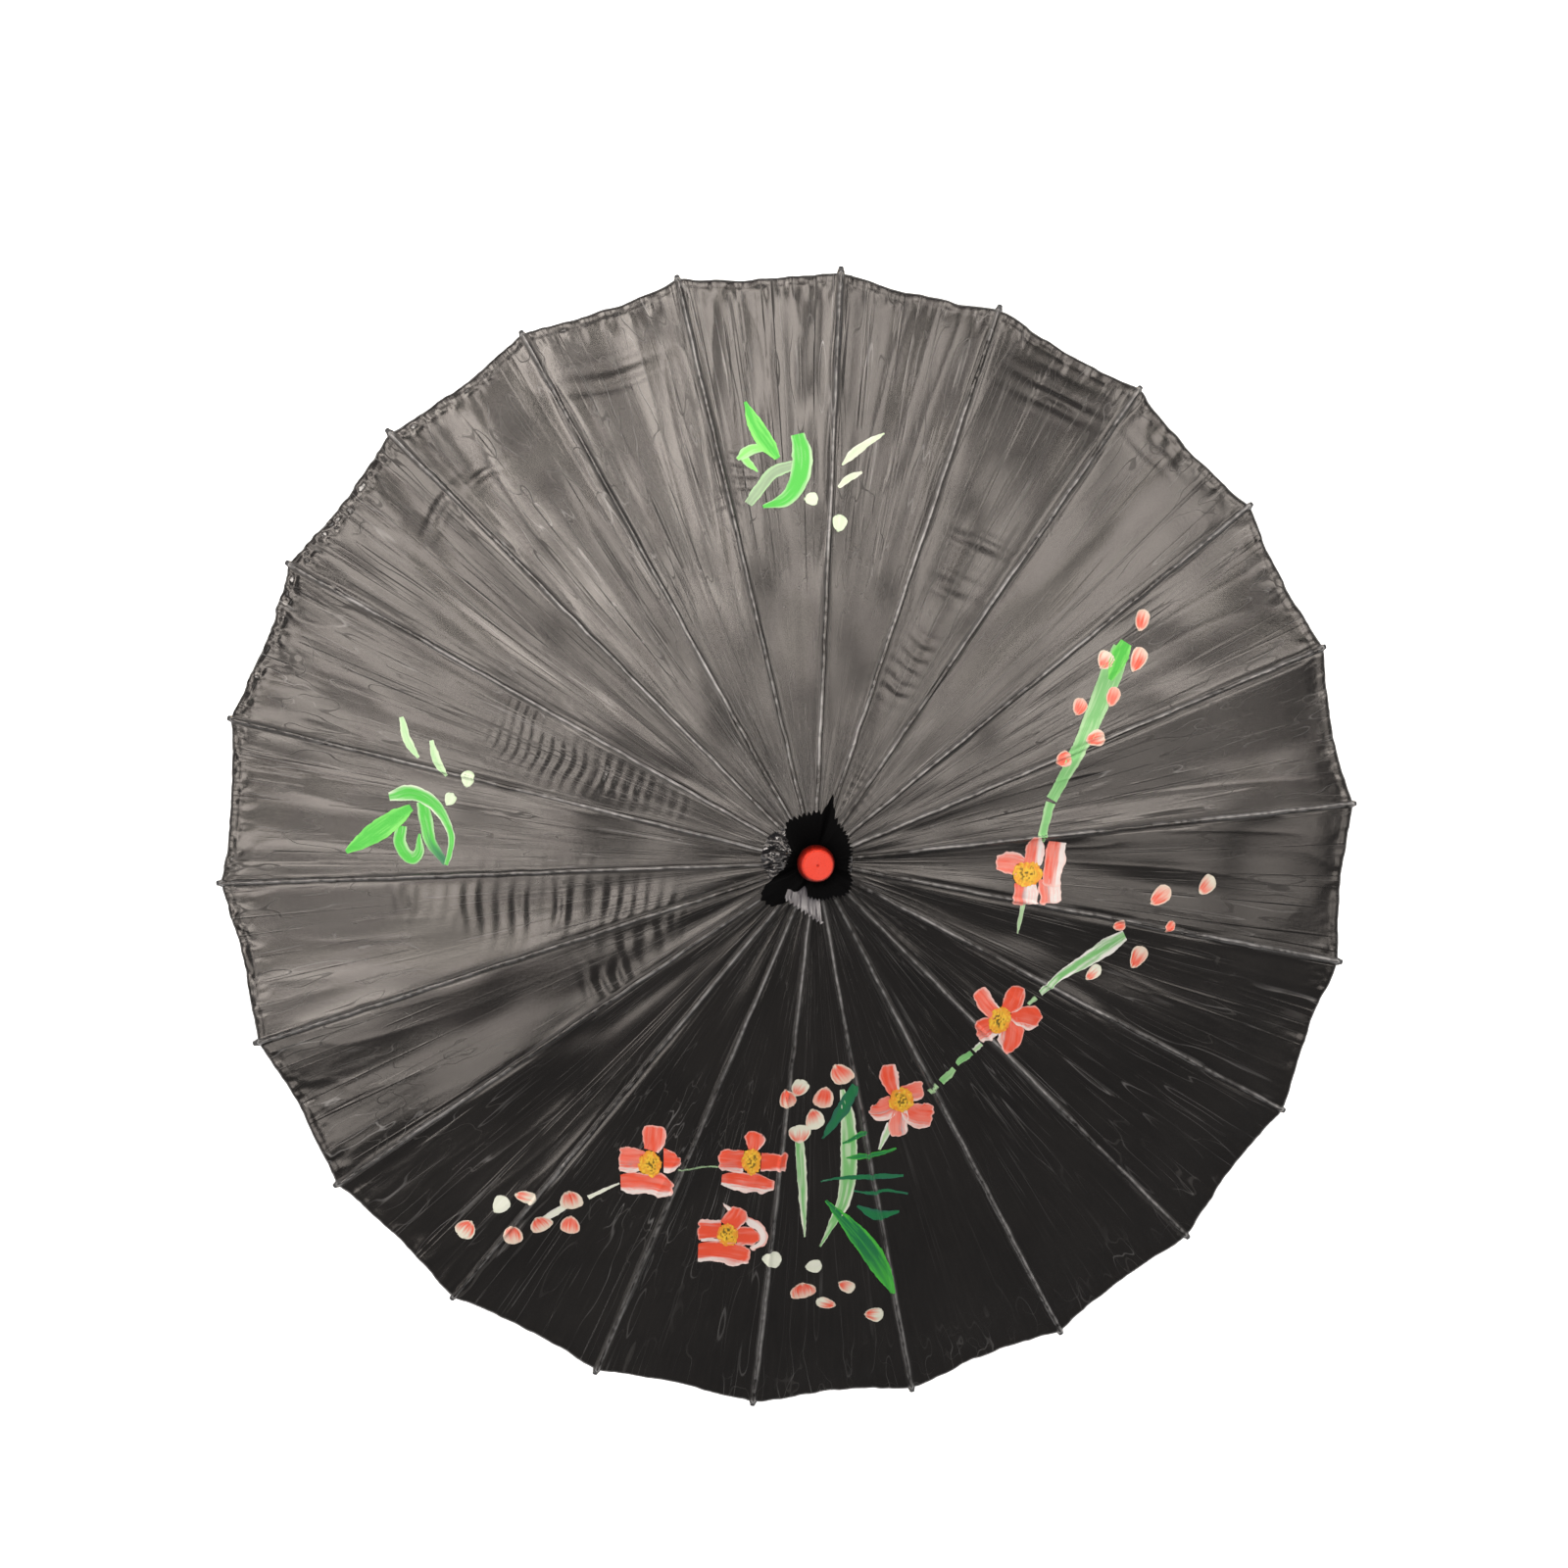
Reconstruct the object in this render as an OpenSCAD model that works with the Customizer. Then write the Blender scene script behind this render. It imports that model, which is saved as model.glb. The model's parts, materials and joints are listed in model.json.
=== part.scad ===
// Folding parasol with a satin canopy on a slotted bamboo frame.
// Millimetres. The origin is the centre of the grip's lower end, and +Z runs up the pole.

/* [Canopy] */
// Radius from the pole's axis to the rib tips, open
rim_r = 415; // [380:5:450]
// Slope of the open ribs below horizontal, degrees
open_angle = 22; // [18:1:28]
// Thickness of the cloth's solid
cloth_t = 0.6; // [0.4:0.1:1]
// Space between the ribs' backs and the cloth
cloth_gap = 0.35; // [0.3:0.05:0.8]
// Radius of the hole at the crown
crown_r = 20; // [19.5:0.5:24]
// How far the hem curves in between two ribs
scallop = 3; // [0:0.5:6]
// How far the cloth sinks between two ribs
belly = 2; // [0:0.5:4]

/* [Frame] */
// Number of ribs, each with one strut
rib_count = 22; // [20:1:22]
// Radius of the ring of hinges in each hub
ring_r = 15; // [15:0.5:16]
// Distance between the two hinges of a strut, and from a rib's hinge to its joint
link = 150; // [130:1:160]
// Full width of a rib
rib_w = 4; // [3.6:0.1:4.4]
// Height of a rib's back above its hinge line
rib_up = 2.2; // [2:0.1:2.4]
// Depth of a rib below its hinge line
rib_down = 2; // [1.8:0.1:2.2]
// Full width of a strut
strut_w = 3.2; // [2.6:0.1:3.2]
// Length of rib beyond the hem
tip_out = 2.5; // [1:0.5:5]

/* [Pole] */
// Radius of the pole
pole_r = 6.5; // [6:0.1:7]
// Height of the upper hinge ring
notch_z = 515; // [500:5:560]
// Radius of both hubs
hub_r = 18.5; // [18.5:0.1:19]
// Length of the runner's sleeve below its hub
sleeve_h = 36; // [20:1:50]
// Radius of the grip
grip_r = 11.5; // [9:0.5:14]
// Length of the grip
grip_h = 110; // [80:5:120]
// Radius of the knob's flat top
knob_r = 9.5; // [8:0.5:11]
// Height of the knob's top above the upper hinge ring
knob_top = 35; // [30:1:45]

/* [Hidden] */
pitch = 360 / rib_count;
half = pitch / 2;
// Shared clearances: a running fit, a glued fit, and a gap between moving parts
run_gap = 0.08;
glue_gap = 0.02;
side_gap = 0.2;
// Hinge pins and ring wires
wire_r = 0.45;
wire_bore_r = 0.55;
pin_r = 0.5;
pin_bore_r = pin_r + run_gap;
// Narrow rib and strut ends that turn in the hubs
tongue_w = 2;
tongue_end = 12;
slot_w = tongue_w + 2 * side_gap;
slot_r = 11.2;
// Second step of the rib, where the folded ribs lie closest
neck_w = 3.2;
neck_end = 70;
// Slit in each rib that the strut's blade folds into
slit_w = 2.1;
slit_in = 5.5;
slit_out = 54;
slit_roof = 1.7;
blade_w = slit_w - 2 * side_gap;
blade_from = link - 58;
strut_half = 1.5;
strut_end_r = 1.5;
rib_len = (rim_r - ring_r) / cos(open_angle);
tip_w = 3;
tip_up = 1.2;
tip_from = rib_len - tip_out;
hem_r = rim_r - tip_out * cos(open_angle);
// The two links of a side are equal, so the runner hangs this far below the notch
runner_z = notch_z - 2 * link * sin(open_angle);
// Cloth height above the hinge line, and the mesh's divisions
lift = rib_up / cos(open_angle) + cloth_gap;
gore_steps = 4;
ring_steps = 5;
ring_n = rib_count * gore_steps;
// Hubs
hub_low = 5;
hub_high = 4;
neck_r = 9.5;
neck_top = 12;
nail_r = 0.9;
nail_z = notch_z + 8;
pole_top = notch_z + 26;
knob_foot_r = 9;
knob_foot_h = 8;
knob_base_r = 12;
bevel = 1.2;
dimple_r = 0.9;
// Collar of gathered cloth round the crown
tie_r = 0.7;
tie_z = notch_z + 8;
collar_low = 5;
collar_high = 23;
collar_r = 26;
collar_t = 0.8;
collar_gap = 0.1;
collar_steps = 8;
// Latch under the runner
sleeve_r = 10.5;
sleeve_low = runner_z - hub_low - sleeve_h;
latch_top = sleeve_low - 0.3;
latch_len = 32;
latch_pivot_x = 1;
latch_pin_r = 0.8;
latch_t = 1.6;
latch_hub_r = 2.4;
latch_reach = 9.8;
latch_slot_w = 2.2;
latch_slot_x = -3.2;
latch_slot_over = 5;

function name_of(kind, k) = str(kind, "_", k < 10 ? "0" : "", k);

// Radius at share t of the way between two ribs, on the chord between their points at radius r
function chord_r(r, t) = r * cos(half) / cos(t * pitch - half);

// Height of the cloth's underside over a rib, at radius r
function cloth_z(r) = notch_z - (r - ring_r) * tan(open_angle) + lift;

// One point of the cloth: ring j outwards, step i round, raised by up
function cloth_point(j, i, up) =
    let (s = j / ring_steps)
    let (r = crown_r + (hem_r - crown_r) * s)
    let (t = (i % gore_steps) / gore_steps)
    let (dip = 4 * t * (1 - t) * s)
    let (inward = scallop * dip * s)
    let (q = chord_r(r, t) - inward)
    let (a = i * 360 / ring_n)
    [q * cos(a), q * sin(a), cloth_z(r) + inward * tan(open_angle) - belly * dip * (1 - s) + up];

// A bar along X from x0 to x1, centred on Y, between heights z0 and z1
module bar(x0, x1, w, z0, z1) {
    translate([x0, -w / 2, z0]) cube([x1 - x0, w, z1 - z0]);
}

// A pin or bore along Y
module cross_pin(x, z, r, len) {
    translate([x, 0, z]) rotate([90, 0, 0]) cylinder(r = r, h = len, center = true, $fn = 32);
}

module ring_wire(z) {
    translate([0, 0, z]) rotate_extrude($fn = 96) translate([ring_r, 0]) circle(r = wire_r, $fn = 20);
}

// A hub with one slot for each rib or strut, bored for its ring wire
module slotted_hub(z) {
    difference() {
        translate([0, 0, z - hub_low]) cylinder(r = hub_r, h = hub_low + hub_high, $fn = 96);
        for (k = [0:rib_count - 1])
            translate([0, 0, z]) rotate([0, 0, k * pitch])
                bar(slot_r, hub_r + 1, slot_w, -hub_low - 1, hub_high + 1);
        translate([0, 0, z]) rotate_extrude($fn = 96)
            translate([ring_r, 0]) circle(r = wire_r + glue_gap, $fn = 20);
    }
}

// A rib along +X from its hinge, with the pin of its joint
module rib_bar() {
    difference() {
        union() {
            cross_pin(0, 0, rib_down, tongue_w);
            bar(0, tongue_end, tongue_w, -rib_down, rib_up);
            bar(tongue_end, neck_end, neck_w, -rib_down, rib_up);
            bar(neck_end, tip_from, rib_w, -rib_down, rib_up);
            bar(tip_from, rib_len, tip_w, -tip_up, tip_up);
        }
        cross_pin(0, 0, wire_bore_r, tongue_w + 1);
        bar(link - slit_in, link + slit_out, slit_w, -rib_down - 1, slit_roof);
        cross_pin(link, 0, pin_r + glue_gap, rib_w + 1);
    }
    cross_pin(link, 0, pin_r, rib_w);
}

// A strut along +X from its lower hinge, with a thin blade for the rib's slit
module strut_bar() {
    difference() {
        union() {
            cross_pin(0, 0, strut_end_r, tongue_w);
            bar(0, tongue_end, tongue_w, -strut_half, strut_half);
            bar(tongue_end, blade_from, strut_w, -strut_half, strut_half);
            bar(blade_from, link, blade_w, -strut_half, strut_half);
            cross_pin(link, 0, strut_end_r, blade_w);
        }
        cross_pin(0, 0, wire_bore_r, tongue_w + 1);
        cross_pin(link, 0, pin_bore_r, blade_w + 1);
    }
}

module rib(k) {
    color("burlywood")
        rotate([0, 0, (k - 1) * pitch]) translate([ring_r, 0, notch_z])
            rotate([0, open_angle, 0]) rib_bar();
}

module strut(k) {
    color("tan")
        rotate([0, 0, (k - 1) * pitch]) translate([ring_r, 0, runner_z])
            rotate([0, -open_angle, 0]) strut_bar();
}

module canopy() {
    rings = ring_steps + 1;
    up = cloth_t / cos(open_angle);
    points = [
        for (side = [0, 1]) for (j = [0:ring_steps]) for (i = [0:ring_n - 1])
            cloth_point(j, i, side * up)
    ];
    under = [
        for (j = [0:ring_steps - 1]) for (i = [0:ring_n - 1])
            let (a = j * ring_n + i, b = j * ring_n + (i + 1) % ring_n)
            each [[a, b, b + ring_n], [a, b + ring_n, a + ring_n]]
    ];
    top = rings * ring_n;
    over = [for (f = under) [f[2] + top, f[1] + top, f[0] + top]];
    edges = [
        for (i = [0:ring_n - 1])
            let (c = (i + 1) % ring_n, o = ring_steps * ring_n)
            each [
                [i, i + top, c + top], [i, c + top, c],
                [o + i, o + c, o + c + top], [o + i, o + c + top, o + i + top]
            ]
    ];
    color("#2b2826") polyhedron(points = points, faces = concat(under, over, edges), convexity = 6);
}

// A strip of cloth gathered on the notch's neck and flaring up round the knob
module head_collar() {
    foot = neck_r + collar_gap;
    inner = [
        for (n = [0:collar_steps])
            let (s = n / collar_steps)
            [foot + (collar_r - foot - collar_t) * (1 - cos(90 * s)),
             tie_z + 2 + (notch_z + collar_high - tie_z - 2) * sin(90 * s)]
    ];
    outer = [for (n = [collar_steps:-1:0]) inner[n] + [collar_t, 0]];
    color("#1c1a1a") rotate_extrude($fn = 96) polygon(concat(
        [[foot, notch_z + collar_low]],
        inner,
        outer,
        [[foot + collar_t, notch_z + collar_low]]));
}

// The thread that ties the collar to the notch
module collar_tie() {
    color("black") translate([0, 0, tie_z]) rotate_extrude($fn = 96)
        translate([neck_r + collar_gap + collar_t + tie_r + glue_gap, 0]) circle(r = tie_r, $fn = 20);
}

// The lacquered knob on the pole's upper end
module finial() {
    foot = notch_z + neck_top + glue_gap;
    top = notch_z + knob_top;
    color("#e8402c") difference() {
        rotate_extrude($fn = 64) polygon([
            [0, foot],
            [knob_foot_r, foot],
            [knob_base_r, foot + knob_foot_h],
            [knob_r + bevel / 2, top - 1.5 * bevel],
            [knob_r, top - bevel / 2],
            [knob_r - bevel / 2, top],
            [0, top]
        ]);
        translate([0, 0, foot - 1]) cylinder(r = pole_r + glue_gap, h = pole_top - foot + 1.1, $fn = 64);
        translate([0, 0, top]) sphere(r = dimple_r, $fn = 24);
    }
}

module top_notch() {
    color("#7a5a3a") difference() {
        union() {
            slotted_hub(notch_z);
            translate([0, 0, notch_z + hub_high - 1]) cylinder(r = neck_r, h = neck_top - hub_high + 1, $fn = 64);
        }
        translate([0, 0, notch_z - hub_low - 1])
            cylinder(r = pole_r + glue_gap, h = hub_low + neck_top + 2, $fn = 64);
        cross_pin(0, nail_z, nail_r + glue_gap, 3 * neck_r);
    }
}

module notch_wire() {
    color("silver") ring_wire(notch_z);
}

module runner_wire() {
    color("silver") ring_wire(runner_z);
}

// The nail that holds the notch on the pole
module notch_nail() {
    color("silver") cross_pin(0, nail_z, nail_r, 2 * neck_r - 0.4);
}

module pole() {
    color("peru") difference() {
        translate([0, 0, grip_h / 4]) cylinder(r = pole_r, h = pole_top - grip_h / 4, $fn = 64);
        translate([0, 0, latch_top - latch_len])
            bar(latch_slot_x, pole_r + 1, latch_slot_w, -latch_slot_over, latch_len + latch_slot_over);
        cross_pin(latch_pivot_x, latch_top - latch_len, latch_pin_r + glue_gap, 3 * pole_r);
        cross_pin(0, nail_z, nail_r + glue_gap, 3 * pole_r);
    }
}

// The hub that slides on the pole, with its sleeve
module runner() {
    color("#7a5a3a") difference() {
        union() {
            slotted_hub(runner_z);
            translate([0, 0, sleeve_low]) cylinder(r = sleeve_r, h = sleeve_h + 1, $fn = 64);
            translate([0, 0, sleeve_low]) cylinder(r = sleeve_r + 1.5, h = 4, $fn = 64);
        }
        translate([0, 0, sleeve_low - 1])
            cylinder(r = pole_r + run_gap, h = sleeve_h + hub_low + hub_high + 2, $fn = 64);
    }
}

// The sprung catch in the pole, which holds the runner up
module latch() {
    color("dimgray") translate([latch_pivot_x, 0, latch_top - latch_len]) difference() {
        union() {
            cross_pin(0, 0, latch_hub_r, latch_t);
            translate([0, latch_t / 2, 0]) rotate([90, 0, 0]) linear_extrude(latch_t) polygon([
                [-latch_hub_r, 0],
                [latch_hub_r, 0],
                [3.2, latch_len - 16],
                [latch_reach - latch_pivot_x, latch_len - 4],
                [latch_reach - latch_pivot_x, latch_len],
                [0, latch_len]
            ]);
        }
        cross_pin(0, 0, latch_pin_r + run_gap, latch_t + 1);
    }
}

module latch_pin() {
    color("silver") cross_pin(latch_pivot_x, latch_top - latch_len, latch_pin_r, 2 * pole_r - 1.2);
}

// The turned grip that the hand, or a stand's socket, takes
module handle_grip() {
    neck = pole_r + 2;
    bead = grip_r + 0.8;
    color("#7a5a3a") difference() {
        rotate_extrude($fn = 64) polygon([
            [0, 0],
            [grip_r, 0],
            [grip_r, grip_h - 22],
            [grip_r - 1, grip_h - 21],
            [grip_r - 1, grip_h - 19],
            [bead, grip_h - 18],
            [bead, grip_h - 12],
            [neck, grip_h],
            [0, grip_h]
        ]);
        translate([0, 0, grip_h / 4 - glue_gap])
            cylinder(r = pole_r + glue_gap, h = grip_h, $fn = 64);
    }
}

for (k = [1:rib_count]) rib(k);
for (k = [1:rib_count]) strut(k);
canopy();
head_collar();
collar_tie();
finial();
top_notch();
notch_wire();
notch_nail();
pole();
runner();
runner_wire();
latch();
latch_pin();
handle_grip();
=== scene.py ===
"""Looks of the folding parasol: black satin with painted blossom, a pinked collar, bamboo and lacquer."""
import json
import math

import bpy
import numpy as np
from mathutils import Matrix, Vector

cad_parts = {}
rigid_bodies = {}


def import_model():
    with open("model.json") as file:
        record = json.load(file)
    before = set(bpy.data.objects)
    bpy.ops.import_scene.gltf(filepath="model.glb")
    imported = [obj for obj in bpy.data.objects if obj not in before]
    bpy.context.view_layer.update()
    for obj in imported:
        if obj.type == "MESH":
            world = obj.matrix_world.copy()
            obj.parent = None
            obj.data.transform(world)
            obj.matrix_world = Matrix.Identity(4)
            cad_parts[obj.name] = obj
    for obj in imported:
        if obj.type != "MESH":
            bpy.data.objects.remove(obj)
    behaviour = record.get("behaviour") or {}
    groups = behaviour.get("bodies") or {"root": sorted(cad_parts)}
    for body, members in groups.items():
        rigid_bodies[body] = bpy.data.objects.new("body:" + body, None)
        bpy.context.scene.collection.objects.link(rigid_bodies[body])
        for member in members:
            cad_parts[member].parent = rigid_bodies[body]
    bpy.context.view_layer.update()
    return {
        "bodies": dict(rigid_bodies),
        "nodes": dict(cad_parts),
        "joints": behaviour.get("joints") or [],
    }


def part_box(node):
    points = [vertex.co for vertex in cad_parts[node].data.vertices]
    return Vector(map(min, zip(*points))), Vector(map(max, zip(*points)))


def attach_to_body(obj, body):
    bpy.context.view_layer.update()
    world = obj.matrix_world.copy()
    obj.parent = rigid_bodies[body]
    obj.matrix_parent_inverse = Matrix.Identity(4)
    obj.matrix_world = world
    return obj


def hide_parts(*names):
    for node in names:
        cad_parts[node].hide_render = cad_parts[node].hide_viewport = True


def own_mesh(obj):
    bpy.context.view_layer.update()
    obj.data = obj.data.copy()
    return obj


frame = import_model()
nodes = frame["nodes"]
joints = {joint["name"]: joint for joint in frame["joints"]}

# ---------------------------------------------------------------- measures, in millimetres
MM = 0.001
RING = joints["fold"]["pos_m"][0] / MM
NOTCH = joints["fold"]["pos_m"][2] / MM
elbow = joints["strut_01_fold"]["pos_m"]
SLOPE = math.atan2(NOTCH - elbow[2] / MM, elbow[0] / MM - RING)
RIBS = sum(name.startswith("rib_") for name in frame["bodies"])
PITCH = 2 * math.pi / RIBS
HALF = PITCH / 2
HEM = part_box("canopy")[1].x / MM
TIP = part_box("rib_01")[1].x / MM
CLOTH = 0.3
# Height of the cloth's middle over the cone through the hinges
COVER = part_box("canopy")[0].z / MM - NOTCH + (HEM - RING) * math.tan(SLOPE) + CLOTH
# Radius where the cloth starts, how far its hem is drawn in and how far a gore sags between two ribs
CROWN = 19.6
SCALLOP = 3.0
BELLY = 1.5
PAINT_LIFT = 0.3
PAINT_DEPTH = 0.42
PAINT_LAYER = 0.09
# The painter's plan has its x axis at this azimuth
PLAN_TURN = math.radians(-85.56)
# In metres and degrees
CAMERA_PLACE = (0.0976, 0.1058, 1.7726)
CAMERA_TURN = (-2.53, -3.587, -85.561)
FLOOR_HALF = 6.0


# ---------------------------------------------------------------- numbers that vary by rule
def smooth(low, high, x):
    """0 up to low, 1 from high on, with a smooth rise between."""
    t = np.clip((x - low) / (high - low), 0, 1)
    return t * t * (3 - 2 * t)


def hashed(ix, iy, seed):
    """A repeatable number from -1 to 1 for each pair of whole numbers."""
    h = (ix * 374761393 + iy * 668265263 + seed * 974634777) & 0xFFFFFFFF
    h = ((h ^ (h >> 13)) * 1274126177) & 0xFFFFFFFF
    return ((h ^ (h >> 16)) & 0xFFFFFF) / 0x7FFFFF - 1


def noise(x, y, seed, around=0):
    """Smooth noise from -1 to 1. With around, it repeats along x after that many cells."""
    x, y = np.broadcast_arrays(np.asarray(x, float), np.asarray(y, float))
    ix, iy = np.floor(x).astype(np.int64), np.floor(y).astype(np.int64)
    fx, fy = x - ix, y - iy
    fx = fx * fx * fx * (fx * (fx * 6 - 15) + 10)
    fy = fy * fy * fy * (fy * (fy * 6 - 15) + 10)
    left, right = (ix % around, (ix + 1) % around) if around else (ix, ix + 1)
    low = hashed(left, iy, seed) * (1 - fx) + hashed(right, iy, seed) * fx
    high = hashed(left, iy + 1, seed) * (1 - fx) + hashed(right, iy + 1, seed) * fx
    return low * (1 - fy) + high * fy


def crease(x, y, seed, around=0, sharp=4):
    """Narrow crests, from 0 to 1, along the lines where the noise is zero."""
    return (1 - np.abs(noise(x, y, seed, around))) ** sharp


# ---------------------------------------------------------------- the canopy's surface
# Groups of parallel folds: plan x and y, direction in which they repeat (degrees), half lengths along and
# across it, spacing, height
FOLDS = [
    (-112, -32, 175, 26, 15, 9, 0.3),
    (-152, -34, 176, 30, 19, 12, 0.42),
    (-205, -34, 177, 34, 20, 11, 0.34),
    (-262, -36, 178, 30, 15, 10, 0.2),
    (-120, -52, 190, 26, 16, 14, 0.5),
    (-134, -84, 205, 22, 14, 13, 0.45),
    (-178, 89, 155, 24, 14, 7.5, 0.24),
    (-193, 69, 158, 26, 12, 7.5, 0.24),
    (-154, 60, 158, 34, 13, 8, 0.28),
    (-108, 44, 158, 26, 12, 8, 0.22),
    (33, 46, 60, 16, 9, 6, 0.2),
    (66, -45, 160, 26, 14, 8, 0.22),
    (194, 349, 64, 13, 30, 13, 0.42),
    (186, 322, 64, 15, 32, 14, 0.45),
    (124, 214, 62, 13, 24, 15, 0.5),
    (104, 183, 62, 13, 20, 15, 0.45),
    (75, 137, 62, 18, 13, 10, 0.3),
    (60, 112, 62, 14, 11, 9, 0.25),
    (257, 293, 50, 14, 20, 13, 0.35),
    (-130, 338, 110, 14, 34, 15, 0.5),
    (-252, 241, 136, 13, 22, 16, 0.5),
    (-222, 262, 136, 10, 14, 14, 0.35),
    (-42, 262, 98, 22, 12, 9, 0.2),
    (-52, 238, 98, 16, 10, 8, 0.2),
]
# Where the cloth is most creased: plan x and y, reach, weight
CREASED = [
    (15, 345, 75, 0.8), (-60, 365, 60, 0.2), (335, -30, 110, 0.2), (290, -150, 80, 0.2), (300, 90, 90, 0.15),
    (-190, 190, 130, 0.35), (-300, 190, 90, 0.2), (-370, 130, 50, 0.4), (-320, -205, 60, 0.6),
    (-200, -300, 120, 0.3), (-60, -330, 120, 0.15), (0, 0, 70, 0.3), (180, 60, 60, 0.2),
    (150, 190, 75, -0.35), (-20, 170, 50, -0.25), (-330, -30, 90, -0.15), (120, -260, 110, -0.2),
    (-215, -75, 60, -0.25),
]


def off_rib(azimuth):
    """Angle from the nearest rib."""
    return azimuth - np.round(azimuth / PITCH) * PITCH


def fold_group(x, y, group, seed):
    """Height of one group of folds at the plan's points: each fold has its own depth and length."""
    gx, gy, direction, along, across, spacing, height = group
    c, s = math.cos(math.radians(direction)), math.sin(math.radians(direction))
    u = (x - gx) * c + (y - gy) * s
    v = (y - gy) * c - (x - gx) * s
    phase = u / spacing + 0.22 * noise(v / across, u / along / 1.5, seed) + 0.05 * (v / across) ** 2
    shift = 0.35 * across * noise(phase, 0 * v + 0.5, seed + 1)
    share = np.exp(-((u / along) ** 4)) * np.exp(-(((v - shift) / across) ** 2))
    uneven = 0.75 + 0.6 * noise(phase * 0.9, v / across / 2, seed + 2)
    return height * share * np.cos(2 * math.pi * phase) * uneven


def creasing(x, y, radius, azimuth):
    """How creased the cloth is at the plan's points, about 0.2 to 1.3."""
    turn = azimuth / (2 * math.pi)
    amount = 0.42 + 0.34 * noise(turn * 11, radius / 120, 5, 11)
    amount = amount + 0.15 * smooth(HEM - 60, HEM, radius)
    for cx, cy, reach, weight in CREASED:
        amount = amount + weight * np.exp(-((x - cx) ** 2 + (y - cy) ** 2) / reach**2)
    return np.clip(amount, 0.1, 1.3)


def wavy_side(turn, side, radius):
    """Distance from a rib's line, which wavers a little."""
    return side + 0.3 * noise(turn * RIBS, radius / 13, 1, RIBS)


def wrinkles(azimuth, radius):
    """Height of the cloth's folds and creases over its smooth shape, and how creased it is."""
    turn = azimuth / (2 * math.pi)
    offset = off_rib(azimuth)
    side = radius * np.sin(offset)
    gore = np.abs(offset) / HALF
    out = (radius - CROWN) / (HEM - CROWN)
    free = 1 - np.exp(-((side / 3.2) ** 2))
    plan = azimuth - PLAN_TURN
    x, y = radius * np.cos(plan), radius * np.sin(plan)
    pull = creasing(x, y, radius, azimuth)
    lean = turn + 0.00004 * (radius - 200) + 0.0012 * noise(turn * 7, radius / 90, 14, 7)

    wavy = wavy_side(turn, side, radius)
    crinkle = noise(turn * RIBS * 2, radius / 3.6, 2, RIBS * 2)
    rib = (1.2 + 0.3 * crinkle) * (1 - smooth(0.5, 1.7, np.abs(wavy)))
    rib -= 0.15 * np.exp(-(((np.abs(wavy) - 2.7) / 1.1) ** 2))
    sag = -BELLY * np.sin(gore * math.pi / 2) ** 2 * smooth(0, 0.5, out)

    swell = 1.3 * noise(turn * 33, radius / 85, 3, 33) + 0.9 * noise(turn * 55, radius / 42, 4, 55)
    flow = 1.5 * noise(lean * 99, radius / 130, 15, 99) * smooth(0.12, 0.35, out) * pull
    strands = 0.6 * crease(lean * 121, radius / 150, 7, 121, 4) * smooth(0.2, 0.5, out) * pull
    gathers = 0.5 * crease(turn * 264, radius / 110, 6, 264, 2) * smooth(0.45, 0.95, out) * pull**2
    crown = 0.5 * crease(turn * 88, radius / 60, 9, 88, 3) * (1 - smooth(0.02, 0.25, out))
    pucker = smooth(HEM - 26, HEM - 4, radius) * (0.7 * noise(turn * 352, radius / 22, 12, 352)
                                                  + 0.32 * noise(turn * 770, radius / 8, 13, 770))
    degrees = np.degrees(plan)
    left = np.exp(-((((degrees + 180) % 360 + 20) / 32) ** 2)) + np.exp(-(((degrees % 360 - 150) / 30) ** 2))
    pucker = pucker + left * smooth(HEM - 15, HEM - 6, radius) * 1.3 * noise(turn * 560, radius / 5, 17, 560)
    hem = 0.55 * smooth(HEM - 7.4, HEM - 6.4, radius) - 1.2 * smooth(HEM - 1.8, HEM, radius)

    height = sag + (swell + flow + strands + gathers + crown) * free
    height = height + pucker * (0.35 + 0.65 * free) * (0.5 + 0.5 * pull)
    for number, group in enumerate(FOLDS):
        height = height + fold_group(x, y, group, 20 + 3 * number) * (0.2 + 0.8 * free)
    return height + rib + hem, pull


def marks(azimuth, radius):
    """How far the cloth is painted pale over the ribs, partly as wear and partly as a painted highlight, and
    shaded in the creases beside them.
    """
    turn = azimuth / (2 * math.pi)
    side = radius * np.sin(off_rib(azimuth))
    wavy = wavy_side(turn, side, radius)
    patches = noise(turn * RIBS + 0.5, radius / 45, 31, RIBS)
    grain = noise(turn * RIBS * 3, radius / 3, 32, RIBS * 3)
    wear_and_highlight = np.exp(-(((wavy - 0.5) / 0.75) ** 2)) * np.clip(0.42 + 0.6 * patches + 0.3 * grain, 0, 1)
    near = np.exp(-(((np.abs(wavy) - 2.2) / 0.7) ** 2))
    shaded = near * np.clip(0.45 + 0.8 * noise(turn * RIBS * 2, radius / 36, 33, RIBS * 2), 0, 1)
    return wear_and_highlight, shaded


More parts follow.
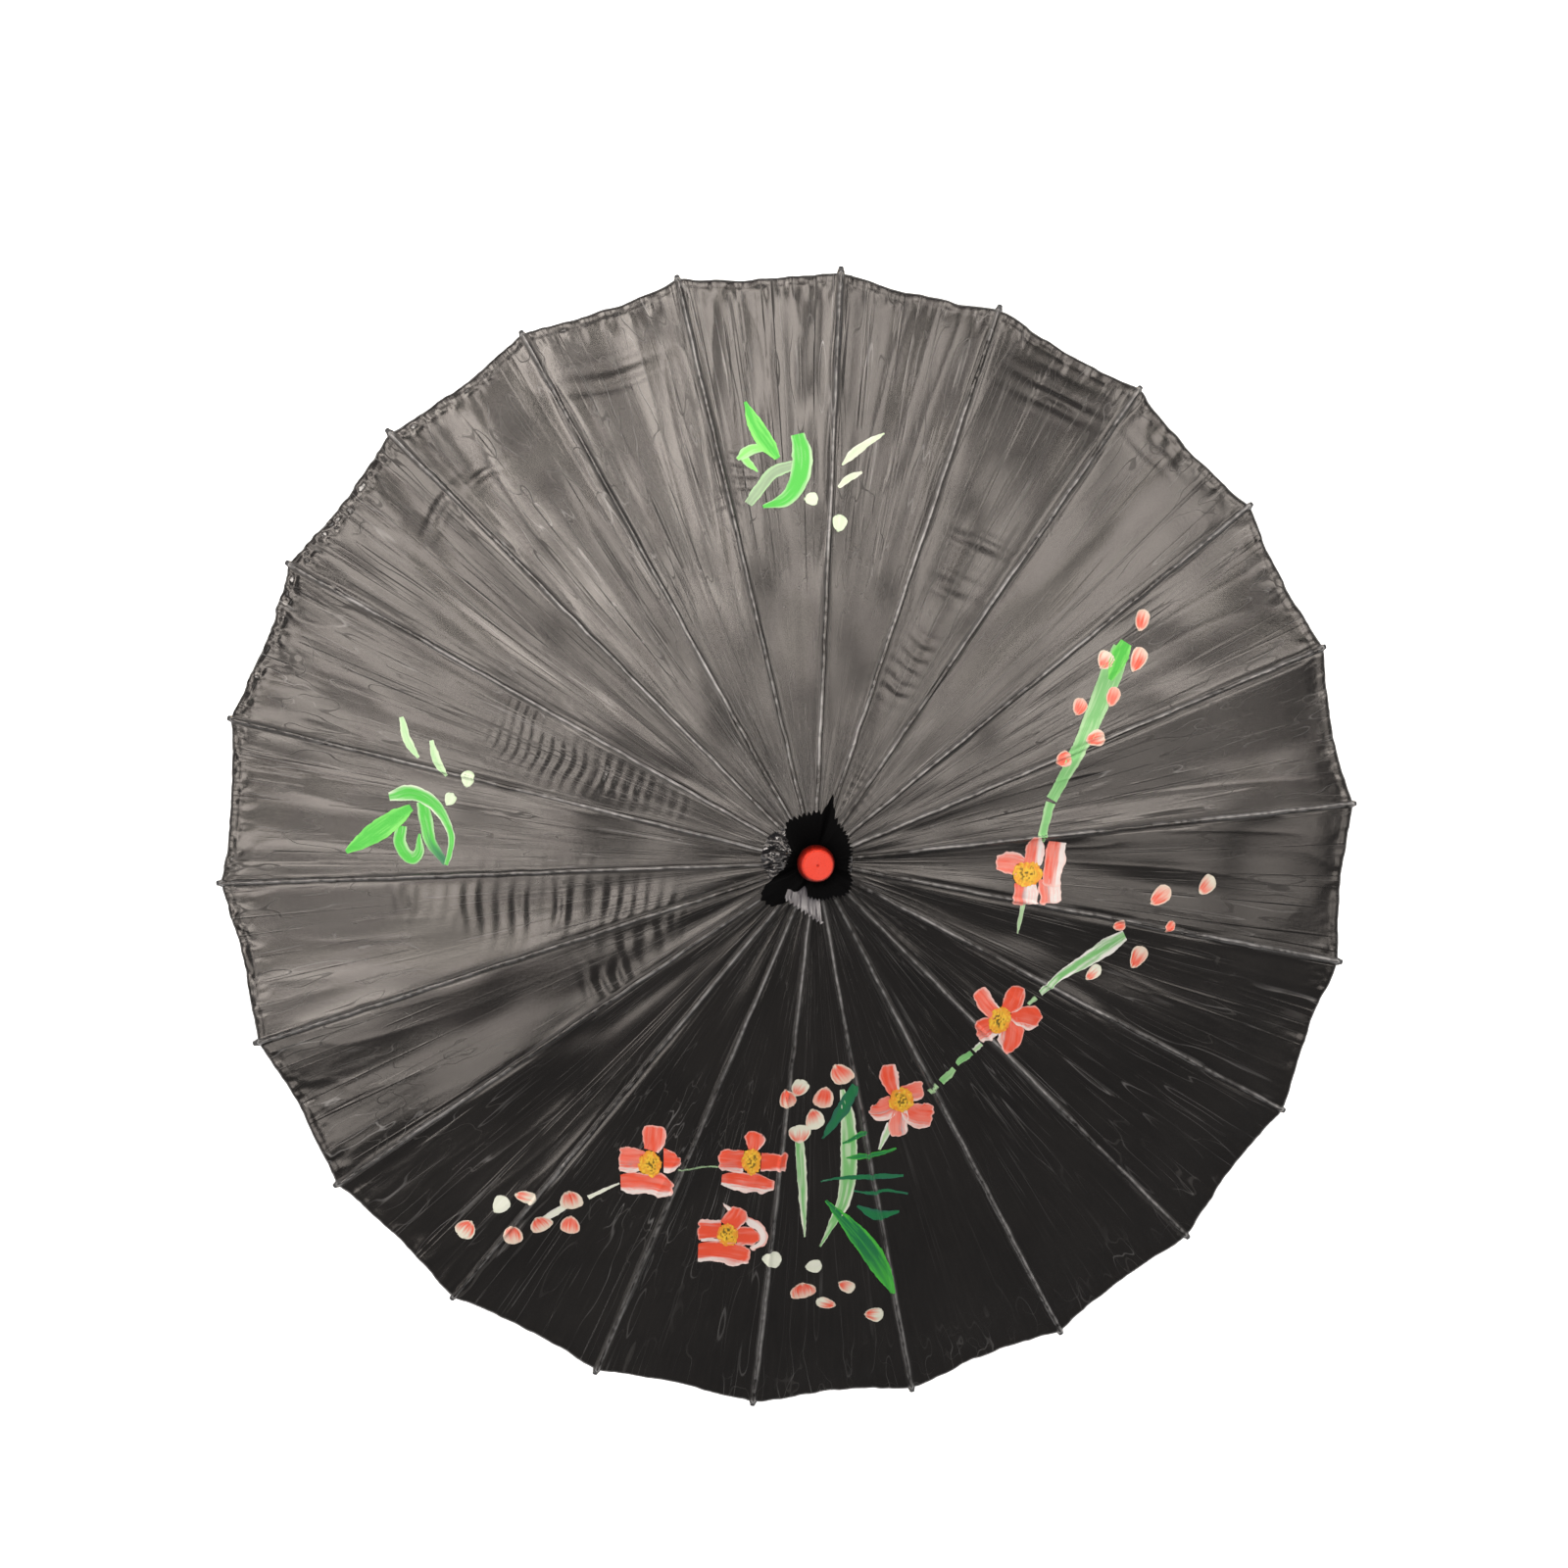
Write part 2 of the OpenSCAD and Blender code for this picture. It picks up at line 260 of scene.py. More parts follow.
def cloth_points(azimuth, radius, lift=0.0):
    """Points of the cloth's middle surface, in metres, moved outwards by lift, and how creased it is there.

    Radius is that of the point on the rib's line at the same distance from the hem."""
    offset = np.abs(off_rib(azimuth))
    gore = offset / HALF
    turn = azimuth / (2 * math.pi)
    inward = SCALLOP * (1 - (1 - gore) ** 2) * np.clip((radius - CROWN) / (HEM - CROWN), 0, 1) ** 6
    height, pull = wrinkles(azimuth, radius)
    height = height + lift
    inward = inward + 0.8 * noise(turn * 176, 0 * radius, 16, 176) * smooth(HEM - 30, HEM, radius)
    reach = radius * math.cos(HALF) / np.cos(HALF - offset) - inward + height * math.sin(SLOPE)
    cone = NOTCH - (radius - RING) * math.tan(SLOPE) + COVER
    z = cone + inward * math.tan(SLOPE) + height * math.cos(SLOPE)
    return np.stack([reach * np.cos(azimuth), reach * np.sin(azimuth), z], -1) * MM, pull


def grid_normals(points):
    """Outward unit normals of a grid of points, from its neighbours along both ways."""
    across, along = np.gradient(points, axis=1), np.gradient(points, axis=0)
    normal = np.cross(along, across)
    normal /= np.maximum(np.linalg.norm(normal, axis=-1, keepdims=True), 1e-12)
    return normal


# ---------------------------------------------------------------- meshes
def grid_quads(rows, columns, closed=False):
    """Quads of a grid whose rows run outwards and whose columns run round."""
    index = np.arange(rows * columns).reshape(rows, columns)
    if closed:
        index = np.concatenate([index, index[:, :1]], 1)
    corners = [index[:-1, :-1], index[1:, :-1], index[1:, 1:], index[:-1, 1:]]
    return np.stack(corners, -1).reshape(-1, 4)


def shell_quads(quads, count):
    """Quads of a thin closed solid: the sheet, its copy count vertices on that faces away, and its edge."""
    edges = np.concatenate([quads[:, [i, (i + 1) % 4]] for i in range(4)])
    rim = edges[~np.isin(edges[:, 1] * count + edges[:, 0], edges[:, 0] * count + edges[:, 1])]
    walls = np.stack([rim[:, 1], rim[:, 0], rim[:, 0] + count, rim[:, 1] + count], 1)
    return np.concatenate([quads, quads[:, ::-1] + count, walls])


def build(name, points, quads, material, normals=None, attributes=None):
    """A mesh object from numpy arrays of points, in metres, and quads. Attributes are vectors or colours."""
    mesh = bpy.data.meshes.new(name)
    mesh.vertices.add(len(points))
    mesh.vertices.foreach_set("co", points.astype(np.float32).ravel())
    mesh.loops.add(quads.size)
    mesh.loops.foreach_set("vertex_index", quads.astype(np.int32).ravel())
    mesh.polygons.add(len(quads))
    mesh.polygons.foreach_set("loop_start", np.arange(0, quads.size, 4, dtype=np.int32))
    mesh.update(calc_edges=True)
    mesh.shade_smooth()
    if normals is not None:
        mesh.normals_split_custom_set_from_vertices(normals.astype(np.float32))
    for label, values in (attributes or {}).items():
        kind, field = ("FLOAT_COLOR", "color") if values.shape[-1] == 4 else ("FLOAT_VECTOR", "vector")
        attribute = mesh.attributes.new(label, kind, "POINT")
        attribute.data.foreach_set(field, values.astype(np.float32).ravel())
    mesh.materials.append(material)
    piece = bpy.data.objects.new(name, mesh)
    bpy.context.scene.collection.objects.link(piece)
    return piece


def shell(name, points, quads, normals, thickness, material, **attributes):
    """A sheet with a real thickness, from grids of its points, outer normals and attributes."""
    points, normals = points.reshape(-1, 3), normals.reshape(-1, 3)
    half = normals * thickness * MM / 2
    both = np.concatenate([points + half, points - half])
    sides = np.concatenate([normals, -normals])
    doubled = {label: np.concatenate([v.reshape(-1, 3)] * 2) for label, v in attributes.items()}
    return build(name, both, shell_quads(quads, len(points)), material, sides, doubled)


def attach(piece, body, slot, *nodes_replaced):
    """Makes the piece ride on a body and stand for CAD nodes, which it hides; the slot is not used."""
    if nodes_replaced:
        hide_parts(*nodes_replaced)
    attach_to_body(piece, body)


def end_caps(rows, sides):
    """Quads that close both ends of a tube whose rings have an even number of sides."""
    caps = []
    for first in (0, (rows - 1) * sides):
        ring = first + np.arange(sides)
        for i in range(sides // 2 - 1):
            face = [ring[i], ring[i + 1], ring[-i - 2], ring[-i - 1]]
            caps.append(face if first else face[::-1])
    return np.array(caps)


def tube(path, radius, sides=8):
    """Points and quads of a closed tube along a path in millimetres, with small end caps drawn in."""
    path = np.asarray(path, float)
    ahead = np.gradient(path, axis=0)
    ahead /= np.linalg.norm(ahead, axis=1, keepdims=True)
    up = np.cross(ahead, [0.13, 0.07, 0.99])
    up /= np.linalg.norm(up, axis=1, keepdims=True)
    across = np.cross(ahead, up)
    angle = np.linspace(0, 2 * math.pi, sides, endpoint=False)
    size = np.full(len(path), float(radius))
    size[[0, -1]] = radius * 0.05
    ring = np.cos(angle)[None, :, None] * up[:, None] + np.sin(angle)[None, :, None] * across[:, None]
    points = path[:, None] + size[:, None, None] * ring
    quads = grid_quads(len(path), sides, closed=True)
    return points.reshape(-1, 3) * MM, np.concatenate([quads, end_caps(len(path), sides)])


# ---------------------------------------------------------------- material helpers
class Shader:
    """A material with short ways to add and join its nodes."""

    def __init__(self, name, **settings):
        self.material = bpy.data.materials.new(name)
        self.material.use_nodes = True
        self.tree = self.material.node_tree
        self.surface = self.tree.nodes["Principled BSDF"]
        for label, value in settings.items():
            self.surface.inputs[label.replace("_", " ")].default_value = value

    def add(self, kind, inputs=None, **properties):
        node = self.tree.nodes.new("ShaderNode" + kind)
        for key, value in properties.items():
            setattr(node, key, value)
        for key, value in (inputs or {}).items():
            self.join(value, node.inputs[key])
        return node

    def join(self, value, socket):
        if isinstance(value, bpy.types.NodeSocket):
            self.tree.links.new(value, socket)
        else:
            socket.default_value = value

    def math(self, operation, a, b=0.0, clamp=False):
        return self.add("Math", {0: a, 1: b}, operation=operation, use_clamp=clamp).outputs[0]

    def times(self, a, b):
        return self.math("MULTIPLY", a, b)

    def plus(self, a, b, clamp=False):
        return self.math("ADD", a, b, clamp)

    def mixed(self, a, b, share):
        return self.plus(self.times(a, share), self.times(b, 1 - share))

    def scaled(self, vector, scale):
        return self.add("VectorMath", {0: vector, 1: scale}, operation="MULTIPLY").outputs[0]

    def noise(self, vector, scale=1.0, detail=2.0, roughness=0.5):
        inputs = {"Vector": vector, "Scale": scale, "Detail": detail, "Roughness": roughness}
        return self.add("TexNoise", inputs).outputs["Fac"]

    def ramp(self, factor, stops):
        node = self.add("ValToRGB", {0: factor})
        elements = node.color_ramp.elements
        while len(elements) < len(stops):
            elements.new(0.5)
        for element, (place, colour) in zip(elements, stops):
            element.position = place
            element.color = (*colour, 1)
        return node.outputs[0]

    def line(self, factor, width):
        """1 along the lines where a noise passes its middle value, 0 farther off than width."""
        distance = self.math("ABSOLUTE", self.math("SUBTRACT", factor, 0.5))
        inputs = {0: distance, 1: 0.0, 2: width, 3: 1.0, 4: 0.0}
        return self.add("MapRange", inputs, interpolation_type="SMOOTHSTEP").outputs[0]

    def span(self, factor, low, high):
        return self.add("MapRange", {0: factor, 3: low, 4: high}).outputs[0]

    def bump(self, *layers):
        """Stacks (height, distance in metres) layers into the surface's normal."""
        normal = None
        for height, distance in layers:
            inputs = {"Height": height, "Distance": distance, "Strength": 1.0}
            node = self.add("Bump", inputs)
            if normal is not None:
                self.join(normal, node.inputs["Normal"])
            normal = node.outputs[0]
        self.join(normal, self.surface.inputs["Normal"])

    def set(self, label, value):
        self.join(value, self.surface.inputs[label])

    def attribute(self, name, output="Vector"):
        return self.add("Attribute", attribute_name=name).outputs[output]

    def place(self):
        """Object coordinates in millimetres."""
        return self.scaled(self.add("TexCoord").outputs["Object"], (1000, 1000, 1000))

    def around(self, radial, tangential, upward):
        """Grain coordinates: radius, azimuth and height, each at its own scale."""
        x, y, z = self.add("SeparateXYZ", {0: self.place()}).outputs
        radius = self.math("SQRT", self.plus(self.times(x, x), self.times(y, y)))
        azimuth = self.math("ARCTAN2", y, x)
        parts = [self.times(radius, radial), self.times(azimuth, tangential), self.times(z, upward)]
        return self.add("CombineXYZ", dict(enumerate(parts))).outputs[0]


SATIN_TINT = (1.0, 0.935, 0.895)
# Pale grey over the ribs and on crests: partly wear, partly a painted highlight
WEAR_AND_HIGHLIGHT_GREY = (0.33, 0.315, 0.31)


def satin(name, colour, roughness, weave):
    """Woven satin: lustre along its threads, fine creases where it is pulled, slubs and patchy wear.

    Thread is azimuth and radius as lengths, and how creased the cloth is; marks are how pale the cloth is
    painted, partly wear and partly painted highlight, and how shaded it is."""
    shader = Shader(name, Specular_IOR_Level=1.0)
    shader.set("Specular Tint", (*SATIN_TINT, 1))
    thread = shader.attribute("thread")
    pull = shader.add("SeparateXYZ", {0: thread}).outputs[2]
    patch = shader.noise(shader.scaled(thread, (0.02, 0.012, 0)), detail=4)
    slub = shader.noise(shader.scaled(thread, (0.6, 0.04, 0)), detail=3, roughness=0.6)
    fibre = shader.noise(shader.scaled(thread, (3.5, 0.25, 0)), detail=2)
    dust = shader.noise(shader.scaled(thread, (0.55, 0.4, 0)), detail=4, roughness=0.8)
    tone = shader.mixed(slub, patch, 0.45)
    broken = shader.span(shader.noise(shader.scaled(thread, (0.1, 0.016, 0)), detail=2), -1.5, 2.4)
    masked = shader.times(shader.plus(broken, 0.0, clamp=True), pull)
    long_lines = shader.line(shader.noise(shader.scaled(thread, (0.13, 0.0009, 0)), detail=1), 0.02)
    crest_highlight_lines = shader.line(shader.noise(shader.scaled(thread, (0.15, 0.0009, 3)), detail=1), 0.012)
    dark_lines = shader.line(shader.noise(shader.scaled(thread, (0.13, 0.001, 5)), detail=1), 0.014)
    gathers = shader.noise(shader.scaled(thread, (0.3, 0.006, 0)), detail=1)
    wear_and_highlight, shaded, _ = shader.add("SeparateXYZ", {0: shader.attribute("marks")}).outputs
    # Pale over the ribs and along crest lines: partly wear, partly painted highlight
    wear_and_highlight = shader.plus(wear_and_highlight, shader.times(shader.times(crest_highlight_lines, masked), 0.5), clamp=True)
    shaded = shader.plus(shaded, shader.times(dark_lines, shader.times(masked, 1.8)), clamp=True)
    dark = tuple(c * 0.72 for c in colour)
    light = tuple(c * 1.35 for c in colour)
    cloth = shader.ramp(tone, [(0.35, dark), (0.65, light)])
    tinted = shader.add("Mix", {0: wear_and_highlight, 6: cloth, 7: (*WEAR_AND_HIGHLIGHT_GREY, 1)}, data_type="RGBA")
    shader.set("Base Color", tinted.outputs[2])
    polish = shader.span(shader.mixed(patch, dust, 0.5), roughness - 0.06, roughness + 0.06)
    shader.set("Roughness", shader.plus(polish, shader.times(shaded, 0.5)))
    shader.bump((shader.times(long_lines, masked), 0.0005 * weave),
                (shader.times(gathers, shader.times(pull, pull)), 0.0002 * weave),
                (fibre, 0.00002 * weave), (dust, 0.0001 * weave))
    return shader.material


def dull_shaded_back():
    """The wrong side of black satin, without its lustre, and nearer black than the right side as painted
    shade.
    """
    shader = Shader("collar_back_shaded", Roughness=0.9, Specular_IOR_Level=0.05)
    weave = shader.noise(shader.place(), scale=2.5, detail=3)
    near_black, black = (0.003, 0.0028, 0.003), (0.0012, 0.0012, 0.0013)
    shader.set("Base Color", shader.ramp(weave, [(0.3, black), (0.7, near_black)]))
    shader.bump((weave, 0.0001))
    return shader.material


def paint():
    """Thick acrylic paint in the colours of the brush strokes, with fine bristle marks."""
    shader = Shader("acrylic_paint", Roughness=0.5)
    place = shader.place()
    bristle = shader.noise(place, scale=1.1, detail=5, roughness=0.65)
    shader.set("Base Color", shader.attribute("paint", "Color"))
    shader.set("Roughness", shader.span(bristle, 0.38, 0.62))
    shader.bump((bristle, 0.00025))
    return shader.material


def halfway(a, b):
    return tuple((x + y) / 2 for x, y in zip(a, b))


def bamboo(name, pale, deep):
    """Split bamboo: long fibres, darker streaks and faint growth marks across."""
    shader = Shader(name, Roughness=0.42, Coat_Weight=0.15, Coat_Roughness=0.3)
    fibre = shader.noise(shader.around(0.05, 900, 2.5), detail=4, roughness=0.6)
    streak = shader.noise(shader.around(0.012, 220, 0.7), detail=2)
    node_mark = shader.noise(shader.around(0.09, 1.5, 0.09), detail=1)
    tone = shader.mixed(fibre, streak, 0.45)
    shader.set("Base Color", shader.ramp(tone, [(0.3, deep), (0.5, halfway(pale, deep)), (0.68, pale)]))
    shader.set("Roughness", shader.span(fibre, 0.34, 0.55))
    shader.bump((fibre, 0.0001), (node_mark, 0.0006))
    return shader.material


def turned_wood(name, pale, deep, roughness, coat):
    """Turned wood with its grain along the pole, fine pores and lathe rings."""
    shader = Shader(name, Roughness=roughness, Coat_Weight=coat, Coat_Roughness=0.18)
    place = shader.place()
    grain = shader.noise(shader.scaled(place, (0.55, 0.55, 0.022)), detail=5, roughness=0.6)
    pores = shader.noise(shader.scaled(place, (4.5, 4.5, 0.16)), detail=3)
    rings = shader.noise(shader.around(0.02, 0.05, 2.4), detail=2)
    tone = shader.mixed(grain, pores, 0.7)
    shader.set("Base Color", shader.ramp(tone, [(0.36, deep), (0.5, halfway(pale, deep)), (0.64, pale)]))
    shader.set("Roughness", shader.span(pores, roughness - 0.08, roughness + 0.1))
    shader.bump((pores, 0.00012), (rings, 0.00006))
    return shader.material


def lacquer():
    """Red gloss lacquer over turned wood, with a soft lathe ripple and worn specks, and painted shade that
    darkens the sides towards the foot under a lighter top face.
    """
    shader = Shader("red_lacquer", Roughness=0.36, Specular_IOR_Level=0.35, Coat_Weight=0.2,
                    Coat_Roughness=0.1)
    ripple = shader.noise(shader.around(1.6, 0.05, 1.2), detail=1)
    speck = shader.noise(shader.place(), scale=1.4, detail=3)
    height = shader.add("SeparateXYZ", {0: shader.place()}).outputs[2]
    foot, top = (corner.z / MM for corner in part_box("finial"))
    # Painted shade: the sides darken towards the foot, and the top face is painted lighter
    shaded_flank = shader.add("MapRange", {0: height, 1: foot + 6, 2: top - 0.8, 3: -0.66, 4: -0.2}).outputs[0]
    face = shader.add("MapRange", {0: height, 1: top - 0.8, 2: top - 0.3, 3: 0.0, 4: 0.2}).outputs[0]
    depth = shader.plus(speck, shader.plus(shaded_flank, face))
    shaded_foot_red, shaded_flank_red, lit_face_red = (0.05, 0.002, 0.001), (0.4, 0.012, 0.004), (0.68, 0.034, 0.009)
    shader.set("Base Color", shader.ramp(depth, [(0.0, shaded_foot_red), (0.25, shaded_flank_red), (0.44, lit_face_red)]))
    shader.bump((ripple, 0.00008), (speck, 0.00003))
    return shader.material


def metal(name, colour, roughness):
    """Drawn or rolled steel with fine scratches."""
    shader = Shader(name, Metallic=1.0)
    place = shader.place()
    scratch = shader.noise(shader.scaled(place, (2.5, 2.5, 0.4)), detail=4, roughness=0.7)
    stain = shader.noise(place, scale=0.25, detail=3)
    dark = tuple(c * 0.6 for c in colour)
    shader.set("Base Color", shader.ramp(stain, [(0.35, dark), (0.6, colour)]))
    shader.set("Roughness", shader.span(scratch, roughness - 0.1, roughness + 0.15))
    shader.bump((scratch, 0.00004))
    return shader.material


def thread_material():
    """Black wound thread with its twist."""
    shader = Shader("black_thread", Roughness=0.6, Sheen_Weight=0.3)
    twist = shader.noise(shader.place(), scale=5.0, detail=3)
    shader.set("Base Color", shader.ramp(twist, [(0.3, (0.006, 0.006, 0.007)), (0.7, (0.03, 0.028, 0.03))]))
    shader.bump((twist, 0.00015))
    return shader.material


def floor_material():
    """Plain pale paper, bright enough to lose the shadow's edge."""
    shader = Shader("pale_floor", Roughness=0.9, Emission_Strength=0.75)
    shader.surface.inputs["Base Color"].default_value = (0.9, 0.9, 0.9, 1)
    shader.surface.inputs["Emission Color"].default_value = (1, 1, 1, 1)
    return shader.material


SATIN = satin("black_satin", (0.0105, 0.0092, 0.0084), 0.22, 1.0)
COLLAR_SATIN = satin("collar_satin", (0.008, 0.0078, 0.0092), 0.22, 0.6)
# The loose end is the collar's satin with a base colour five times paler: painted highlight where it catches
# the light
LIT_FLAP_SATIN = satin("collar_end_lit_satin", (0.04, 0.037, 0.046), 0.4, 0.6)
COLLAR_DULL_SHADED_BACK = dull_shaded_back()
PAINT = paint()
THREAD = thread_material()
HUB_WOOD = turned_wood("hub_wood", (0.50, 0.32, 0.16), (0.28, 0.16, 0.075), 0.46, 0.15)
WIRE = metal("wire", (0.56, 0.55, 0.52), 0.35)
# By node, or by the first word of its name
NODE_MATERIALS = {
    "finial": lacquer(),
    "pole": turned_wood("pole_wood", (0.62, 0.42, 0.21), (0.40, 0.24, 0.11), 0.38, 0.35),
    "handle_grip": turned_wood("grip_wood", (0.34, 0.17, 0.075), (0.14, 0.06, 0.028), 0.34, 0.5),
    "top_notch": HUB_WOOD,
    "runner": HUB_WOOD,
    "latch": metal("spring_steel", (0.36, 0.37, 0.39), 0.3),
    "notch_wire": WIRE,
    "notch_nail": WIRE,
    "runner_wire": WIRE,
    "latch_pin": WIRE,
    "rib": bamboo("rib_bamboo", (0.70, 0.52, 0.28), (0.47, 0.30, 0.13)),
    "strut": bamboo("strut_bamboo", (0.74, 0.57, 0.33), (0.52, 0.35, 0.17)),
    "canopy": SATIN,
    "head_collar": COLLAR_SATIN,
    "collar_tie": THREAD,
}


def finish_cad_nodes():
    """Gives every CAD node its material."""
    for name, node in nodes.items():
        kind = name if name in NODE_MATERIALS else name.split("_")[0]
        node.data.materials.clear()
        node.data.materials.append(NODE_MATERIALS[kind])


# ---------------------------------------------------------------- camera, light and floor
def make_camera():
    data = bpy.data.cameras.new("camera")
    data.lens = 45
    data.sensor_width = 36
    camera = bpy.data.objects.new("camera", data)
    camera.location = CAMERA_PLACE
    camera.rotation_euler = [math.radians(a) for a in CAMERA_TURN]
    bpy.context.scene.collection.objects.link(camera)
    bpy.context.scene.camera = camera


def softbox(name, plan_angle, tilt, distance, size, power, colour):
    """An area light, unseen itself, that looks at the canopy's middle from tilt degrees off the zenith."""
    data = bpy.data.lights.new(name, "AREA")
    data.shape = "RECTANGLE"
    data.size, data.size_y = size
    data.energy = power
    data.color = colour
    light = bpy.data.objects.new(name, data)
    azimuth, tilt = math.radians(plan_angle) + PLAN_TURN, math.radians(tilt)
    away = Vector((math.sin(tilt) * math.cos(azimuth), math.sin(tilt) * math.sin(azimuth), math.cos(tilt)))
    light.location = Vector((0, 0, NOTCH * MM)) + away * distance
    light.rotation_euler = away.to_track_quat("Z", "Y").to_euler()
    light.visible_camera = False
    bpy.context.scene.collection.objects.link(light)


def make_studio():
    """A bank of soft strips round the plan's upper side, a soft box overhead, a backdrop and a pale floor."""
    warm = (1.0, 0.955, 0.9)
    # Plan angle and watts of each strip
    strips = [(-4, 1.8), (18, 4.8), (42, 4.4), (68, 4.4), (92, 5.6), (116, 7.5), (140, 5), (164, 4.8),
              (188, 5.4), (208, 2.4)]
    for number, (plan_angle, power) in enumerate(strips):
        softbox(f"strip_{number}", plan_angle, 62, 1.9, (0.42, 0.8), power, warm)
    softbox("overhead", 115, 14, 2.6, (1.2, 1.0), 46, (1.0, 0.985, 0.96))
    world = bpy.data.worlds.new("studio")
    world.use_nodes = True
    tree = world.node_tree
    backdrop = tree.nodes["Background"]
    backdrop.inputs["Color"].default_value = (0.86, 0.88, 0.92, 1)
    # The backdrop is as pale as the floor, but lights the cloth little
    seen = tree.nodes.new("ShaderNodeLightPath").outputs["Is Camera Ray"]
    strength = tree.nodes.new("ShaderNodeMapRange")
    strength.inputs["To Min"].default_value = 0.12
    strength.inputs["To Max"].default_value = 0.95
    tree.links.new(seen, strength.inputs["Value"])
    tree.links.new(strength.outputs["Result"], backdrop.inputs["Strength"])
    bpy.context.scene.world = world
    bpy.context.scene.view_settings.view_transform = "Standard"
    corners = np.array([[-1, -1, 0], [1, -1, 0], [1, 1, 0], [-1, 1, 0]]) * FLOOR_HALF
    build("floor", corners, np.array([[0, 1, 2, 3]]), floor_material())


# ---------------------------------------------------------------- canopy pieces
COLUMNS = 84
ROWS = 280
# Azimuths are turned into lengths of cloth at this radius
THREAD_RADIUS = 200
ribs = range(1, RIBS + 1)


def narrow(piece):
    """Gives the piece its own copy of its mesh."""
    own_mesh(piece)


def along_rib(k, s, side, up):
    """Points in metres at s along rib k's line, side to its left and up above it."""
    angle = (k - 1) * PITCH
    r = RING + s * math.cos(SLOPE) + up * math.sin(SLOPE)
    z = NOTCH - s * math.sin(SLOPE) + up * math.cos(SLOPE)
    x = r * math.cos(angle) - side * math.sin(angle)
    y = r * math.sin(angle) + side * math.cos(angle)
    return np.stack([x, y, z], -1) * MM


def gore_offsets():
    """Angles from the rib for one piece's columns, closest together at the rib, with one more each side."""
    share = np.linspace(-1, 1, COLUMNS + 1)
    offset = np.sign(share) * (0.4 * np.abs(share) + 0.6 * np.abs(share) ** 1.5) * HALF
    beyond = 2 * HALF - offset[-2]
    return np.concatenate([[-beyond], offset, [beyond]])


def canopy_piece(k):
    """The cloth that goes with one rib, out to the middle of the gores on both sides."""
    radius = np.linspace(CROWN, HEM, ROWS + 1)
    step = radius[1] - radius[0]
    radius = np.concatenate([[radius[0] - step], radius, [radius[-1] + step * 0.2]])
    azimuth = (k - 1) * PITCH + gore_offsets()
    a, r = np.meshgrid(azimuth, radius)
    points, pull = cloth_points(a, r)
    normals = grid_normals(points)
    # The pale marks over the ribs are partly wear and partly painted highlight
    wear_and_highlight, shaded = marks(a, r)
    thread, wear_highlight_and_shade = np.stack([a * THREAD_RADIUS, r, pull], -1), np.stack([wear_and_highlight, shaded, 0 * r], -1)
    return [grid[1:-1, 1:-1] for grid in (points, normals, thread, wear_highlight_and_shade)]


def make_canopy():
    """One piece for each rib, which together make one cloth."""
    quads = grid_quads(ROWS + 1, COLUMNS + 1)
    for k in ribs:
        points, normals, thread, wear_highlight_and_shade = canopy_piece(k)
        piece = shell(f"canopy_{k:02d}", points, quads, normals, CLOTH, SATIN, thread=thread, marks=wear_highlight_and_shade)
        attach(piece, f"rib_{k:02d}", "cloth", "canopy")
        narrow(piece)
        make_tape(k)


def make_tape(k):
    """A narrow strip of the same cloth glued to a rib's back."""
    half, bottom, top, corner = 2.15, 2.22, 2.42, 0.05
    along = np.linspace(6, (HEM - RING) / math.cos(SLOPE) - 3, 60)
    section = np.array([(-half, bottom), (-half, top - corner), (-half + 0.3, top), (half - 0.3, top),
                        (half, top - corner), (half, bottom)])
    side = section[:, 0] + 0.12 * noise(along / 14, k, 71)[:, None]
    s, up = np.broadcast_arrays(along[:, None], section[:, 1])
    points = along_rib(k, s, side, up).reshape(-1, 3)
    thread = np.stack([(k - 1) * PITCH * THREAD_RADIUS + side, s, 0 * s + 0.2], -1).reshape(-1, 3)
    quads = np.concatenate([grid_quads(*s.shape, closed=True), end_caps(*s.shape)])
    piece = build(f"rib_tape_{k:02d}", points, quads, SATIN, attributes={"thread": thread})
    attach(piece, f"rib_{k:02d}", "cloth")
    return piece


# ---------------------------------------------------------------- painted blossom
CORAL = (0.84, 0.085, 0.035)
ROSE = (0.88, 0.3, 0.24)
BLUSH = (0.86, 0.56, 0.5)
GREY_ROSE = (0.42, 0.29, 0.30)
CREAM = (0.78, 0.80, 0.66)
PALE_GREEN = (0.62, 0.74, 0.50)
WHITE = (0.86, 0.82, 0.78)
YELLOW = (0.82, 0.42, 0.03)
GOLD = (0.88, 0.58, 0.05)
ORANGE = (0.84, 0.26, 0.03)
OLIVE = (0.14, 0.10, 0.012)
LEAF = (0.07, 0.50, 0.05)
LEAF_LIGHT = (0.23, 0.70, 0.14)
LEAF_DARK = (0.01, 0.17, 0.055)
TEAL = (0.02, 0.13, 0.08)
STEM = (0.20, 0.50, 0.17)
STEM_PALE = (0.42, 0.64, 0.34)
DRY = (0.27, 0.37, 0.23)


def mix(a, b, share):
    return np.asarray(a) + (np.asarray(b) - a) * share[..., None]


